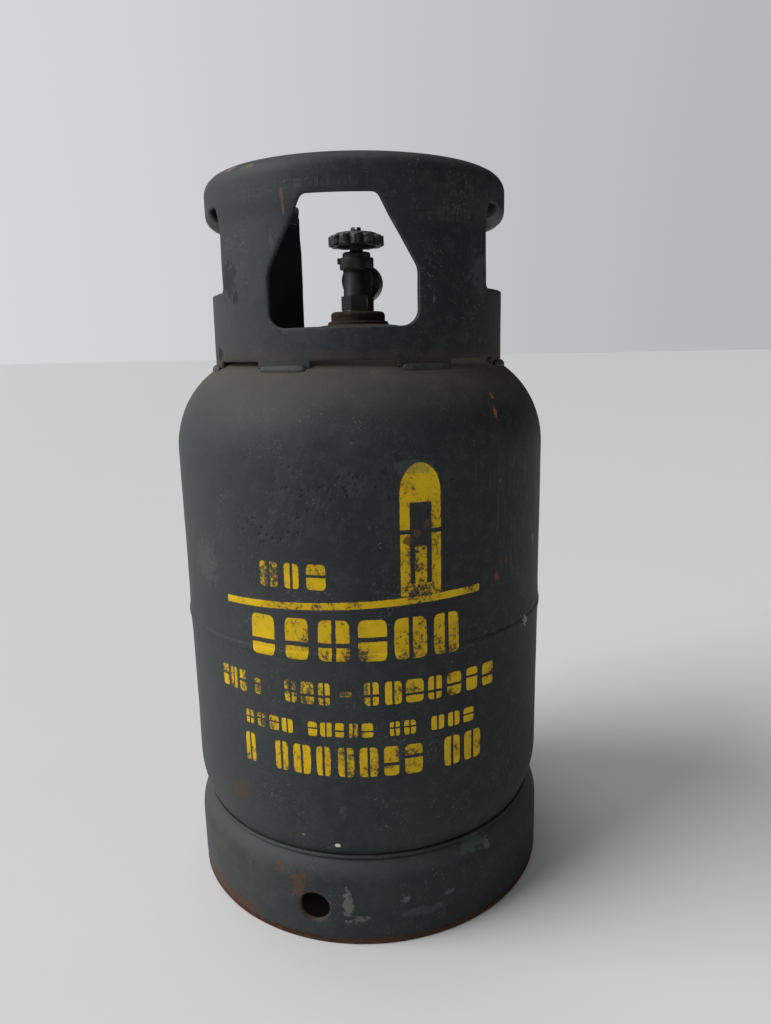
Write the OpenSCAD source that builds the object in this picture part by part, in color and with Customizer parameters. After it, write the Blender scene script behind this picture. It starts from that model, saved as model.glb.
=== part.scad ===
// Small steel LPG cylinder: two drawn shells, foot ring, open-backed guard collar and handwheel valve.
// Origin: centre of the foot ring's lower edge. +Z up, -Y is the front, millimetres throughout.
// Turns round the cylinder are measured from the front, positive towards +X.

/* [Vessel] */
// Outer diameter of the drawn shells
body_d = 247; // [215:1:300]
// Sheet thickness of the shells
shell_t = 2.5; // [2:0.1:4]
// Height of the straight wall between the two heads
straight_h = 215; // [150:1:300]
// Height above the floor at which the straight wall starts
base_tangent_z = 85; // [76:1:110]
// Knuckle radius of the upper head
knuckle_r = 62; // [50:1:80]
// Crown radius of the upper head
crown_r = 178.7; // [160:0.1:240]
// Knuckle radius of the lower head
base_knuckle_r = 60; // [48:1:75]
// Crown radius of the lower head
base_crown_r = 230; // [190:1:280]
// Height of the weld seam above the start of the straight wall
seam_rise = 105; // [60:1:140]
// How far the lower shell's joggled edge reaches up inside the upper shell
joggle_h = 12; // [8:1:20]
// Root gap between the edges of the two shells
root_gap = 0.5; // [0.2:0.1:1.5]
// Width of the seam bead
seam_w = 6; // [4:0.5:10]
// How far the seam bead stands proud of the wall
seam_proud = 0.8; // [0.4:0.1:1.2]

/* [Foot ring] */
// How far the foot ring stands out past the shells
foot_flare = 1.3; // [1.3:0.1:6]
// Sheet thickness of the foot ring
foot_t = 3; // [2:0.1:5]
// Height at which the ring starts to turn in under the lower head
foot_bend_z = 38; // [30:1:45]
// Outer radius of that turn
foot_bend_r = 24; // [18:1:30]
// Rounding of the ring's lower outer edge
foot_edge_r = 1.2; // [0.4:0.1:1.8]
// Radius of the bead between foot ring and lower head
foot_bead_r = 2; // [1.4:0.1:3]
// Number of drain holes
drain_count = 3; // [2:1:4]
// Diameter of a drain hole
drain_d = 19; // [10:1:24]
// Height of the drain holes' centres
drain_z = 24.5; // [20:0.5:28]
// Turn of the first drain hole from the front
drain_turn = -17; // [-60:1:60]

/* [Guard collar] */
// Outer diameter of the collar's wall
collar_d = 191; // [150:1:200]
// Sheet thickness of the collar
collar_t = 3; // [2:0.1:4]
// Height of the collar's rim above the crown
collar_rise = 87.5; // [70:0.5:110]
// How far the band under the rim stands out past the wall
band_proud = 1.3; // [0.5:0.1:2.5]
// Outer radius of the rolled rim
rim_roll_r = 10; // [7:0.5:12]
// Length of the straight lip inside the rolled rim
rim_lip = 4; // [1:0.5:6]
// Turn of the collar's middle from the front
collar_turn = -2; // [-20:1:20]
// Half angle of the opening at the back
back_half = 29; // [20:1:40]
// Size of the sheet's cut-off top corners beside that opening
back_corner = 6; // [4:1:16]
// Height of the grip band, rim to rolled edge
grip_h = 28; // [26:0.5:38]
// Outer radius of the rolled edge under the grip
grip_roll_r = 7; // [6:0.5:10]
// Height of a hand hole's lower edge above the crown
hand_rise = 17.5; // [8:0.5:24]
// Angles at which a hand hole starts and ends, from the collar's middle
hand_from = 57; // [52:1:62]
hand_to = 118; // [108:1:124]
// Angle of the slit between a hand hole's corner and its rolled edge
hand_slit = 8; // [4:1:12]
// Width of the front window at its sides
window_w = 85; // [60:1:100]
// Width of the window's top edge
window_top_w = 41; // [20:1:56]
// Drop from the rim to the window's top edge
window_drop = 22; // [18:0.5:30]
// Drop from the rim to the upper end of the window's sides
window_side_drop = 61; // [40:0.5:70]
// Drop from the crown to the window's lower edge
window_sill_drop = 5; // [0:0.5:8]
// Turn of the window from the collar's middle
window_turn = -3.5; // [-12:0.5:12]
// Height of the drain notches above the dome
notch_h = 4; // [3:0.5:8]
// Radius of the weld beads at the collar's feet
collar_bead_r = 3.4; // [2.4:0.1:4.5]

/* [Valve boss] */
// Outer diameter of the neck ring
boss_d = 36.8; // [34:0.2:46]
// Height of the neck ring above the crown
boss_rise = 7.5; // [5:0.5:12]
// Diameter of the neck ring's spigot through the shell
boss_spigot_d = 31.8; // [28:0.2:33]
// How far the spigot reaches below the crown
boss_depth = 8; // [5:0.5:12]
// Rounding of the neck ring's top edge
boss_edge_r = 2.8; // [1:0.2:4]
// Radius of the bead round the neck ring
boss_bead_r = 2.4; // [1.6:0.1:3]

/* [Valve] */
// Diameter of the taper thread at the top of the neck ring
stem_d = 21; // [19:0.2:23]
// How far the stem reaches below the neck ring's top
stem_depth = 19; // [16:0.5:24]
// Width across flats of the body's wrench hexagon
hex_af = 19; // [18:0.5:22]
// Height of the wrench hexagon
hex_h = 9.3; // [7:0.1:12]
// Diameter of the body's round upper part
valve_d = 18.4; // [17.8:0.2:20]
// Height of the round upper part
valve_h = 16.4; // [14:0.2:20]
// Diameter of the outlet
outlet_d = 26; // [25:0.2:32]
// Distance from the valve's axis to the outlet's face
outlet_reach = 31; // [27:0.5:36]
// Drop from the top of the body to the outlet's axis
outlet_drop = 6.1; // [5.5:0.1:7]
// Wall radius of the outlet's thread
outlet_bore_r = 11.2; // [9:0.1:12]
// Length of that thread
outlet_bore_len = 14; // [10:0.5:14.5]
// Turn of the outlet from the front
outlet_turn = 170; // [140:1:200]
// Radius of the gas way
gas_r = 3; // [2:0.1:3.2]
// Lift of the plug between closed and open
plug_lift = 3; // [2:0.1:3.4]
// Diameter of the plug's threaded head
plug_d = 10; // [9:0.1:10.4]
// Outer diameter of the bonnet's ring
bonnet_d = 22.6; // [21:0.2:24]
// Height of the bonnet's ring
bonnet_h = 7.1; // [6.8:0.1:10]
// Thickness of the gasket under the bonnet
gasket_t = 0.8; // [0.5:0.1:1.2]
// Outer diameter of the packing nut
nut_d = 18.6; // [17.6:0.2:21]
// Height of the packing nut
nut_h = 3.7; // [3.5:0.1:6]
// Diameter of the spindle
spindle_d = 6.4; // [5.6:0.1:7]
// Running clearance round turning and sliding pieces
run_clear = 0.05; // [0.02:0.01:0.1]

/* [Handwheel] */
// Diameter over the lobes
wheel_d = 37; // [32:0.5:44]
// Diameter of the domed cap
wheel_cap_d = 30.6; // [27:0.2:31]
// Height of the wheel, hub included
wheel_h = 11.8; // [9:0.2:15]
// How far the hub reaches below the lobes
wheel_lift = 3; // [1:0.5:5]
// Number of lobes
lobe_count = 12; // [6:1:16]
// Radius of one lobe
lobe_r = 3.4; // [2.6:0.1:3.8]
// Height of the lobes
lobe_h = 6.6; // [5:0.2:9.6]
// Diameter of the screw's head
screw_head_d = 6.8; // [5.6:0.1:8]
// Height of the screw's head
screw_head_h = 3.4; // [2:0.1:4]
// Diameter of the screw's shank
screw_d = 3.2; // [2.6:0.1:3.6]

/* [Hidden] */
$fn = 96;
far = 600; // longer than anything it cuts

paint = "#2b3032";
bead_grey = "#4a5052";
boss_rust = "#4b2f22";
valve_black = "#1d1e1e";
brass = "#a98a4a";

body_r = body_d / 2;
top_tangent_z = base_tangent_z + straight_h;
seam_z = base_tangent_z + seam_rise;
lower_edge_z = seam_z - (shell_t + root_gap) / 2;
upper_edge_z = seam_z + (shell_t + root_gap) / 2;
bend_shift = shell_t * tan(22.5); // how far a 45 degree bend moves the inner skin's corner

// Half angle of a head's crown, and the drop of its centre below the tangent line
function crown_half(r, knuckle, crown) = asin((r - knuckle) / (crown - knuckle));
function crown_drop(r, knuckle, crown) = (crown - knuckle) * cos(crown_half(r, knuckle, crown));
crown_z = top_tangent_z + crown_r - crown_drop(body_r, knuckle_r, crown_r);

// Height of the upper head's outer skin at a distance from the axis
function dome_z(x) =
    x < crown_r * sin(crown_half(body_r, knuckle_r, crown_r))
        ? crown_z - crown_r + sqrt(crown_r * crown_r - x * x)
        : top_tangent_z + sqrt(knuckle_r * knuckle_r - pow(x - body_r + knuckle_r, 2));

// Outer crossing of two circles, each given as centre and radius
function circles_meet(c1, r1, c2, r2) =
    let (d = norm(c2 - c1), u = (c2 - c1) / d, a = (r1 * r1 - r2 * r2 + d * d) / (2 * d),
         h = sqrt(r1 * r1 - a * a))
    c1 + a * u + h * [u.y, -u.x];

foot_r = body_r + foot_flare;
foot_bend_c = [foot_r - foot_bend_r, foot_bend_z];
foot_seat = circles_meet(foot_bend_c, foot_bend_r,
                         [body_r - base_knuckle_r, base_tangent_z], base_knuckle_r);
foot_turn_in = 60; // angle of the turn before the lower head trims it

collar_r = collar_d / 2;
band_r = collar_r + band_proud;
rim_z = crown_z + collar_rise;
grip_z = rim_z - grip_h;
slit_z = grip_z + grip_roll_r;
band_step_h = 10; // height over which the wall steps out to the band
hand_z = crown_z + hand_rise;
notch_z = dome_z(collar_r) + notch_h;
notches = [[-118, -92], [-62, -36.5], [-15, 15], [36.5, 62], [92, 118]];
feet = [[-149, -119.5], [-90, -64], [-35, -16.5], [16.5, 35], [64, 90], [119.5, 149]];
lip_cut = 6; // how much further in the end of the rolled lip is cut
window_side_r = 12;
window_top_r = 5;
window_sill_r = 9;

boss_z = crown_z + boss_rise;
stem_r = stem_d / 2;
stem_taper = 1 / 32; // radius lost for each millimetre of a 1:16 taper
stem_foot_r = stem_r - stem_depth * stem_taper;
stem_z = boss_z - stem_depth;
hex_z = boss_z + 0.6;
valve_z = hex_z + hex_h;
valve_top_z = valve_z + valve_h;
outlet_z = valve_top_z - outlet_drop;
outlet_neck_r = 10.5;
outlet_start = 13;
outlet_edge = 1.4;
outlet_seat_len = 3;
chamber_r = 6.5;
chamber_z = outlet_z - 9;
seat_z = outlet_z - 6;
seat_wall = 1.4;
bonnet_thread_r = 7.5;
bonnet_thread_h = 4.2;
bonnet_z = valve_top_z + gasket_t;
bonnet_top_z = bonnet_z + bonnet_h;
plug_r = plug_d / 2;
spindle_r = spindle_d / 2;
web_t = 0.8; // the ring of metal that keeps the spindle's collar in
web_z = bonnet_top_z - 0.2;
spigot_r = 7.6;
nut_plate_t = 1.1;
nut_z = bonnet_top_z;
nut_top_z = nut_z + nut_h;
gland_t = 0.6;
spigot_top_z = nut_top_z - nut_plate_t;
packing_r = 5.2;
washer_t = 0.4;
collar_z = web_z - washer_t - run_clear; // top of the spindle's collar
collar_h = 0.9;
tang_w = 2;
tang_l = 8;
tang_z = collar_z - collar_h - 4.9;
slot_floor_z = tang_z - plug_lift - 0.2;
plug_top_z = collar_z - collar_h - plug_lift - 0.2;
plug_head_z = plug_top_z - 7;
disc_holder_h = 3.4;
disc_r = 4;
disc_t = 1.6;
disc_z = seat_z + run_clear;

wheel_z = nut_top_z + 0.5;
wheel_top_z = wheel_z + wheel_h;
skirt_z = wheel_z + wheel_lift;
wheel_r = wheel_d / 2;
wheel_cap_r = wheel_cap_d / 2;
wheel_hub_r = 4.4;
wheel_edge_r = 3;
wheel_web_t = 4.6;
wheel_skirt_t = 2.2;
square_w = 4.5;
square_top_z = wheel_top_z - 1.6;
screw_r = screw_d / 2;
screw_len = 9;
screw_slot_w = 1.4;
screw_slot_h = 1.3;

// ---- shared shapes ----

// Points in their own order (way = 1), or flipped to the other side of y = 0 and still anticlockwise
function flipped(points, way) = way > 0
    ? points
    : [for (i = [len(points) - 1 : -1 : 0]) [points[i].x, -points[i].y]];

// Half section of a torispherical head, above (way = 1) or below (way = -1) its tangent line
module head_area(r, knuckle, crown, way) {
    reach = r - knuckle;
    half = crown_half(r, knuckle, crown);
    drop = crown_drop(r, knuckle, crown);
    side = [sin(half), cos(half)];
    lap = [sin(half - 2), cos(half - 2)]; // the knuckle's sector runs on a little under the crown's
    intersection() {
        translate([0, -drop * way]) circle(crown, $fn = 256);
        polygon(flipped([[0, 0], [reach, 0], [reach, 0] + 2 * crown * side, [0, 2 * crown]], way));
    }
    intersection() {
        translate([reach, 0]) circle(knuckle, $fn = 256);
        polygon(flipped([[reach, 0], [reach + 2 * knuckle, 0], [reach + 2 * knuckle, 2 * knuckle],
                         [reach, 0] + 2 * knuckle * lap], way));
    }
}

// Half section of the whole vessel, its skin moved in by inset
module vessel_area(inset = 0) {
    r = body_r - inset;
    translate([0, base_tangent_z]) square([r, straight_h]);
    translate([0, top_tangent_z]) head_area(r, knuckle_r - inset, crown_r - inset, 1);
    translate([0, base_tangent_z]) head_area(r, base_knuckle_r - inset, base_crown_r - inset, -1);
}

// Half section of the ring between two radii and two heights
module ring_area(r_in, r_out, z_low, z_high) {
    translate([r_in, z_low]) square([r_out - r_in, z_high - z_low]);
}

// Upper (way = 1) or lower (way = -1) half of a bent sheet's section
module half_turn(r, t, way) {
    intersection() {
        difference() {
            circle(r);
            circle(r - t);
        }
        translate([-r - 1, way > 0 ? 0 : -r - 1]) square([2 * r + 2, r + 1]);
    }
}

// Convex outline whose corners are rounded, each by its own radius, as one run of points
module rounded_outline(points, radii, steps = 8) {
    n = len(points);
    polygon([for (i = [0 : n - 1])
        let (p = points[i], a = points[(i + n - 1) % n] - p, b = points[(i + 1) % n] - p,
             ua = a / norm(a), ub = b / norm(b), half = acos(ua * ub) / 2,
             centre = p + (ua + ub) / norm(ua + ub) * radii[i] / sin(half),
             first = p + ua * radii[i] / tan(half) - centre,
             last = p + ub * radii[i] / tan(half) - centre)
        for (t = [0 : 1 / steps : 1]) let (way = first * (1 - t) + last * t)
            centre + way / norm(way) * radii[i]]);
}

// The children's half section swept between two turns from the front
module sweep(from, to) {
    rotate_extrude(angle = to - from, start = from - 90) children();
}

// A square-edged block that cuts everything between two radii, heights and turns
module sector(from, to, r_in, r_out, z_low, z_high) {
    sweep(from, to) ring_area(r_in, r_out, z_low, z_high);
}

module ring(r_in, r_out, z_low, z_high) {
    rotate_extrude() ring_area(r_in, r_out, z_low, z_high);
}

// Children drawn along +X are laid along a turn from the front
module facing(turn) {
    rotate([0, 0, turn - 90]) children();
}

// ---- vessel ----

module upper_shell_area() {
    difference() {
        intersection() {
            vessel_area();
            ring_area(0, body_r + 1, upper_edge_z, far);
        }
        vessel_area(shell_t);
        ring_area(0, boss_spigot_d / 2, crown_z - far, far);
    }
}

module joggle_area() {
    r1 = body_r - shell_t;
    r2 = r1 - shell_t;
    z1 = lower_edge_z + shell_t;
    polygon([[body_r, lower_edge_z], [r1, z1], [r1, z1 + joggle_h], [r2, z1 + joggle_h],
             [r2, z1 - bend_shift], [r1, lower_edge_z - bend_shift], [r1, lower_edge_z - shell_t],
             [body_r, lower_edge_z - shell_t]]);
}

module lower_shell_area() {
    difference() {
        intersection() {
            vessel_area();
            ring_area(0, body_r + 1, -far, lower_edge_z - shell_t);
        }
        vessel_area(shell_t);
    }
    joggle_area();
}

module upper_shell() {
    color(paint) rotate_extrude() upper_shell_area();
}

module lower_shell() {
    color(paint) rotate_extrude() lower_shell_area();
}

module seam_weld() {
    crown = (seam_w * seam_w / 4 + seam_proud * seam_proud) / (2 * seam_proud);
    color(bead_grey) rotate_extrude() difference() {
        intersection() {
            translate([body_r + seam_proud - crown, seam_z]) circle(crown);
            ring_area(body_r - shell_t, body_r + 1 + seam_proud, seam_z - seam_w / 2,
                      seam_z + seam_w / 2);
        }
        upper_shell_area();
        lower_shell_area();
    }
}

module foot_ring_area() {
    difference() {
        union() {
            ring_area(foot_r - foot_t, foot_r, 0, foot_bend_z);
            translate(foot_bend_c) intersection() {
                difference() {
                    circle(foot_bend_r);
                    circle(foot_bend_r - foot_t);
                }
                polygon([[0, 0], [far, 0], [far, far * sin(foot_turn_in)],
                         far * [cos(foot_turn_in), sin(foot_turn_in)]]);
            }
        }
        vessel_area();
        translate([foot_r - foot_edge_r, foot_edge_r]) difference() {
            translate([0, -foot_edge_r]) square([foot_edge_r + 1, foot_edge_r]);
            circle(foot_edge_r);
        }
    }
}

module foot_ring() {
    color(paint) difference() {
        rotate_extrude() foot_ring_area();
        for (i = [0 : drain_count - 1])
            facing(drain_turn + i * 360 / drain_count) translate([foot_r / 2, 0, drain_z])
                rotate([0, 90, 0]) cylinder(d = drain_d, h = foot_r);
    }
}

module foot_ring_weld() {
    color(bead_grey) rotate_extrude() difference() {
        translate(foot_seat + [foot_bead_r * 0.4, 0]) circle(foot_bead_r);
        vessel_area();
        foot_ring_area();
    }
}

// ---- guard collar ----

module collar_wall_area() {
    step_z = slit_z - band_step_h - 1;
    turn_z = rim_z - rim_roll_r;
    foot_z = dome_z(collar_r) - collar_t;
    polygon([[collar_r, foot_z], [collar_r, step_z], [band_r, step_z + band_step_h],
             [band_r, turn_z], [band_r - collar_t, turn_z],
             [band_r - collar_t, step_z + band_step_h], [collar_r - collar_t, step_z],
             [collar_r - collar_t, foot_z]]);
    translate([band_r - rim_roll_r, turn_z]) half_turn(rim_roll_r, collar_t, 1);
    translate([band_r - 2 * rim_roll_r, turn_z - rim_lip]) square([collar_t, rim_lip]);
}

module grip_roll_area() {
    translate([band_r - grip_roll_r, slit_z]) half_turn(grip_roll_r, collar_t, -1);
    ring_area(band_r - collar_t, band_r, slit_z, slit_z + collar_t); // runs up into the band
}

module window_cut() {
    sill_z = crown_z - window_sill_drop;
    side_z = rim_z - window_side_drop;
    top_z = rim_z - window_drop;
    w = window_w / 2;
    tw = window_top_w / 2;
    facing(window_turn) rotate([90, 0, 90]) linear_extrude(height = collar_r + 10)
        rounded_outline([[-w, sill_z], [w, sill_z], [w, side_z], [tw, top_z], [-tw, top_z],
                         [-w, side_z]],
                        [window_sill_r, window_sill_r, window_side_r, window_top_r, window_top_r,
                         window_side_r]);
}

// Cuts off the sheet's top corner beside the opening at the back, the rolled lip a little further in
module back_corner_cut() {
    low = -rim_roll_r - rim_lip - 1;
    facing(180 - back_half) translate([collar_r / 2, 0, rim_z]) rotate([90, 0, 90]) {
        linear_extrude(height = collar_r)
            polygon([[1, -back_corner - 1], [1, 1], [-back_corner - 1, 1]]);
        linear_extrude(height = band_r - rim_roll_r - collar_r / 2)
            polygon([[1, low], [1, 1], [-back_corner - lip_cut / low, 1],
                     [-back_corner - lip_cut, low]]);
    }
}

module collar_sheet() {
    edge = 180 - back_half;
    difference() {
        sweep(-edge, edge) collar_wall_area();
        rotate_extrude() vessel_area();
        window_cut();
        for (n = notches)
            sector(n[0], n[1], collar_r / 2, collar_r + 5, crown_z - far / 4, notch_z);
        sector(hand_from, hand_to, collar_r / 2, collar_r + 5, hand_z, slit_z);
        sector(-hand_to, -hand_from, collar_r / 2, collar_r + 5, hand_z, slit_z);
        back_corner_cut();
        mirror([1, 0, 0]) back_corner_cut();
    }
    sweep(hand_from + hand_slit, hand_to - hand_slit) grip_roll_area();
    sweep(-hand_to + hand_slit, -hand_from - hand_slit) grip_roll_area();
}

module guard_collar() {
    color(paint) rotate([0, 0, collar_turn]) collar_sheet();
}

module collar_bead_area() {
    bead_r = collar_r + collar_bead_r * 0.3;
    difference() {
        translate([bead_r, dome_z(bead_r) + collar_bead_r * 0.2]) circle(collar_bead_r);
        vessel_area();
        ring_area(0, collar_r, 0, far);
    }
}

module collar_welds() {
    color(bead_grey) rotate([0, 0, collar_turn])
        for (f = feet) sweep(f[0], f[1]) collar_bead_area();
}

// ---- valve boss ----

module stem_area(z_low, z_high) {
    polygon([[0, z_low], [stem_r + (z_low - boss_z) * stem_taper, z_low],
             [stem_r + (z_high - boss_z) * stem_taper, z_high], [0, z_high]]);
}

module boss_area() {
    difference() {
        union() {
            difference() {
                ring_area(0, boss_d / 2, crown_z - boss_depth, boss_z);
                vessel_area();
            }
            ring_area(0, boss_spigot_d / 2, crown_z - boss_depth, boss_z - 1);
        }
        translate([boss_d / 2 - boss_edge_r, boss_z - boss_edge_r]) difference() {
            square(boss_edge_r + 1);
            circle(boss_edge_r);
        }
    }
}

module valve_boss() {
    color(boss_rust) rotate_extrude() difference() {
        boss_area();
        stem_area(stem_z - 1, boss_z + 1);
    }
}

module boss_weld() {
    seat_r = boss_d / 2 + boss_bead_r * 0.25;
    color(boss_rust) rotate_extrude() difference() {
        translate([seat_r, dome_z(seat_r) + boss_bead_r * 0.2]) circle(boss_bead_r);
        vessel_area();
        boss_area();
        ring_area(0, boss_spigot_d / 2, 0, far);
    }
}

// ---- valve ----

module outlet_solid() {
    facing(outlet_turn) translate([0, 0, outlet_z]) rotate([0, 90, 0]) {
        cylinder(r = outlet_neck_r, h = outlet_start + 1);
        translate([0, 0, outlet_start])
            cylinder(r1 = outlet_d / 2 - outlet_edge, r2 = outlet_d / 2, h = outlet_edge);
        translate([0, 0, outlet_start + outlet_edge])
            cylinder(d = outlet_d, h = outlet_reach - outlet_start - outlet_edge);
    }
}

module outlet_ways() {
    thread_start = outlet_reach - outlet_bore_len;
    facing(outlet_turn) translate([0, 0, outlet_z]) rotate([0, 90, 0]) {
        cylinder(r = gas_r, h = outlet_reach);
        translate([0, 0, thread_start - outlet_seat_len])
            cylinder(r1 = gas_r, r2 = outlet_bore_r - 3, h = outlet_seat_len);
        translate([0, 0, thread_start]) cylinder(r = outlet_bore_r, h = outlet_bore_len + 1);
    }
}

module valve_body() {
    color(valve_black) {
        difference() {
            union() {
                rotate_extrude() stem_area(stem_z, hex_z);
                ring(0, hex_af / 2 - 1, hex_z - 1, hex_z + 1);
                facing(37) translate([0, 0, hex_z])
                    cylinder(r = hex_af / sqrt(3), h = hex_h, $fn = 6);
                translate([0, 0, valve_z - 1]) cylinder(d = valve_d, h = valve_h + 1);
                outlet_solid();
            }
            outlet_ways();
            ring(0, bonnet_d / 2 + 0.4, valve_top_z, bonnet_top_z + 1);
            translate([0, 0, chamber_z])
                cylinder(r = chamber_r, h = valve_top_z - chamber_z);
            translate([0, 0, valve_top_z - bonnet_thread_h])
                cylinder(r = bonnet_thread_r, h = bonnet_thread_h + 1);
            translate([0, 0, stem_z - 1]) cylinder(r = gas_r, h = chamber_z - stem_z + 2);
        }
        ring(gas_r, gas_r + seat_wall, chamber_z - 1, seat_z);
    }
}

module bonnet_gasket() {
    color("#6b5b45") ring(bonnet_thread_r, valve_d / 2 - 0.3, valve_top_z, bonnet_z);
}

module bonnet() {
    lug_w = 3;
    lug_h = 3.6;
    lug_out = 1.5;
    bore_r = plug_r + run_clear;
    color(valve_black) difference() {
        union() {
            ring(0, bonnet_thread_r, valve_top_z - bonnet_thread_h, bonnet_z + 1);
            ring(0, bonnet_d / 2, bonnet_z, bonnet_top_z);
            ring(0, spigot_r, bonnet_top_z - 1, spigot_top_z);
            facing(-86) translate([bonnet_d / 2 - 1, -lug_w / 2, bonnet_top_z - lug_h])
                cube([lug_out + 1, lug_w, lug_h]);
        }
        ring(0, bore_r, 0, web_z);
        ring(0, spindle_r + run_clear, web_z - 1, far);
        ring(0, packing_r, web_z + web_t, far);
    }
}

module slip_washer() {
    color("white") ring(spindle_r + run_clear, plug_r - 0.2, web_z - washer_t, web_z);
}

module packing() {
    color("#d8d4c8") ring(spindle_r + run_clear, packing_r, web_z + web_t, spigot_top_z - gland_t);
}

module gland_ring() {
    color(brass) ring(spindle_r + run_clear, packing_r, spigot_top_z - gland_t, spigot_top_z);
}

module packing_nut() {
    edge = 0.8;
    r = nut_d / 2;
    color(valve_black) rotate_extrude() difference() {
        polygon([[0, nut_z], [r, nut_z], [r, nut_top_z - edge], [r - edge, nut_top_z],
                 [0, nut_top_z]]);
        ring_area(0, spigot_r, nut_z - 1, spigot_top_z);
        ring_area(0, spindle_r + run_clear, nut_z - 1, far);
    }
}

module spindle() {
    color(brass) difference() {
        union() {
            translate([-tang_l / 2, -tang_w / 2, tang_z])
                cube([tang_l, tang_w, collar_z - collar_h / 2 - tang_z]);
            ring(0, plug_r - 0.4, collar_z - collar_h, collar_z);
            ring(0, spindle_r, collar_z - 0.5, wheel_z + 1);
            translate([-square_w / 2, -square_w / 2, wheel_z])
                cube([square_w, square_w, square_top_z - wheel_z]);
        }
        translate([0, 0, wheel_top_z - screw_len]) cylinder(r = screw_r, h = screw_len);
    }
}

module seat_plug() {
    color(brass) difference() {
        union() {
            ring(0, plug_r - 0.1, disc_z + 0.4, disc_z + disc_holder_h);
            ring(0, gas_r, disc_z + disc_holder_h - 1, plug_head_z + 1);
            ring(0, plug_r, plug_head_z, plug_top_z);
        }
        ring(0, disc_r, 0, disc_z + disc_t);
        translate([-plug_d, -tang_w / 2 - run_clear, slot_floor_z])
            cube([2 * plug_d, tang_w + 2 * run_clear, plug_d]);
    }
}

module seat_disc() {
    color("#222222") ring(0, disc_r, disc_z, disc_z + disc_t);
}

// ---- handwheel ----

module wheel_cap_area() {
    difference() {
        union() {
            ring_area(0, wheel_cap_r, skirt_z, wheel_top_z);
            ring_area(0, wheel_hub_r, wheel_z, wheel_top_z);
        }
        translate([wheel_cap_r - wheel_edge_r, wheel_top_z - wheel_edge_r]) difference() {
            square(wheel_edge_r + 1);
            circle(wheel_edge_r);
        }
        ring_area(wheel_hub_r, wheel_cap_r - wheel_skirt_t, skirt_z - 1,
                  wheel_top_z - wheel_web_t);
    }
}

module handwheel() {
    color("#23292a") difference() {
        union() {
            rotate_extrude() wheel_cap_area();
            for (i = [0 : lobe_count - 1]) facing(i * 360 / lobe_count)
                difference() {
                    translate([wheel_r - lobe_r, 0, skirt_z]) cylinder(r = lobe_r, h = lobe_h);
                    ring(0, wheel_cap_r - wheel_skirt_t / 2, skirt_z - 1, skirt_z + lobe_h + 1);
                }
        }
        translate([-square_w / 2, -square_w / 2, wheel_z])
            cube([square_w, square_w, square_top_z - wheel_z]);
        ring(0, spindle_r, wheel_z - 1, wheel_z + 1);
        ring(0, screw_r + run_clear, square_top_z - 1, far);
    }
}

module wheel_screw() {
    color(valve_black) difference() {
        union() {
            ring(0, screw_r, wheel_top_z - screw_len, wheel_top_z + 1);
            ring(0, screw_head_d / 2, wheel_top_z, wheel_top_z + screw_head_h);
        }
        translate([-screw_slot_w / 2, -screw_head_d, wheel_top_z + screw_head_h - screw_slot_h])
            cube([screw_slot_w, 2 * screw_head_d, screw_slot_h + 1]);
    }
}

upper_shell();
lower_shell();
seam_weld();
foot_ring();
foot_ring_weld();
guard_collar();
collar_welds();
valve_boss();
boss_weld();
valve_body();
bonnet_gasket();
bonnet();
slip_washer();
packing();
gland_ring();
packing_nut();
spindle();
seat_plug();
seat_disc();
handwheel();
wheel_screw();
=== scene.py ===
"""Looks of a small gas cylinder in worn dark paint, built around its packed construction frame.

Lengths are millimetres until a mesh is made. Turns are degrees from the front, positive towards +X.
"""

import logging
import math
from collections.abc import Callable, Sequence
from dataclasses import dataclass, field
from enum import Enum
from functools import reduce

import bmesh
import bpy
import numpy as np
from mathutils import Matrix, Vector, kdtree, noise
from mathutils.geometry import delaunay_2d_cdt


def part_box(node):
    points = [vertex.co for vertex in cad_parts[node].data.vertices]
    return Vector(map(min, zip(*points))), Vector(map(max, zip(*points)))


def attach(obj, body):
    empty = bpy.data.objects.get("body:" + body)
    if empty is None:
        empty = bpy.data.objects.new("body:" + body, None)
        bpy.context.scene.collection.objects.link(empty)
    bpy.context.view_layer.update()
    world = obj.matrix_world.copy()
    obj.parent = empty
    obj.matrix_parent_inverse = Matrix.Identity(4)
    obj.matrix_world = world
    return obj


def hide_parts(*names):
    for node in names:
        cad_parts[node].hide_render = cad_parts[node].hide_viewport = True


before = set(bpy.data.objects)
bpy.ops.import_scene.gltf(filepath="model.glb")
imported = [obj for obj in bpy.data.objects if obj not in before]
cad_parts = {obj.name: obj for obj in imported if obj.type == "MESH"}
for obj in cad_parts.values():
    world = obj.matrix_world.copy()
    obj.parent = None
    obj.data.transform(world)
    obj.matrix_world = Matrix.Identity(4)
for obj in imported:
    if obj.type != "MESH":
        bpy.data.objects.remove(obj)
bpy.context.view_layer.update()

log = logging.getLogger("gas_cylinder")

MM = 0.001
HALF_ROUND = 0.293  # how far a quarter-round edge drops halfway round, in radii

Colour = tuple[float, float, float]
Points = np.ndarray
Faces = list[tuple[int, ...]]
Socket = bpy.types.NodeSocket


class Body(Enum):
    """The bodies that pieces ride on."""

    CYLINDER = "cylinder"
    WHEEL = "wheel_and_spindle"


class Slot(Enum):
    """Names of the record's material slots, handed to each new piece but not used."""

    PAINT = "worn_paint"
    RING = "ring_paint"
    COLLAR = "collar_paint"
    WELD = "weld_beads"
    BOSS = "rusty_boss"
    WHEEL = "wheel_paint"


# ---- plain geometry ----


def box_mm(node: str) -> tuple[Points, Points]:
    """Gives the lowest and highest corners of a construction node."""
    low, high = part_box(node)
    return np.array(low) / MM, np.array(high) / MM


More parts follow.
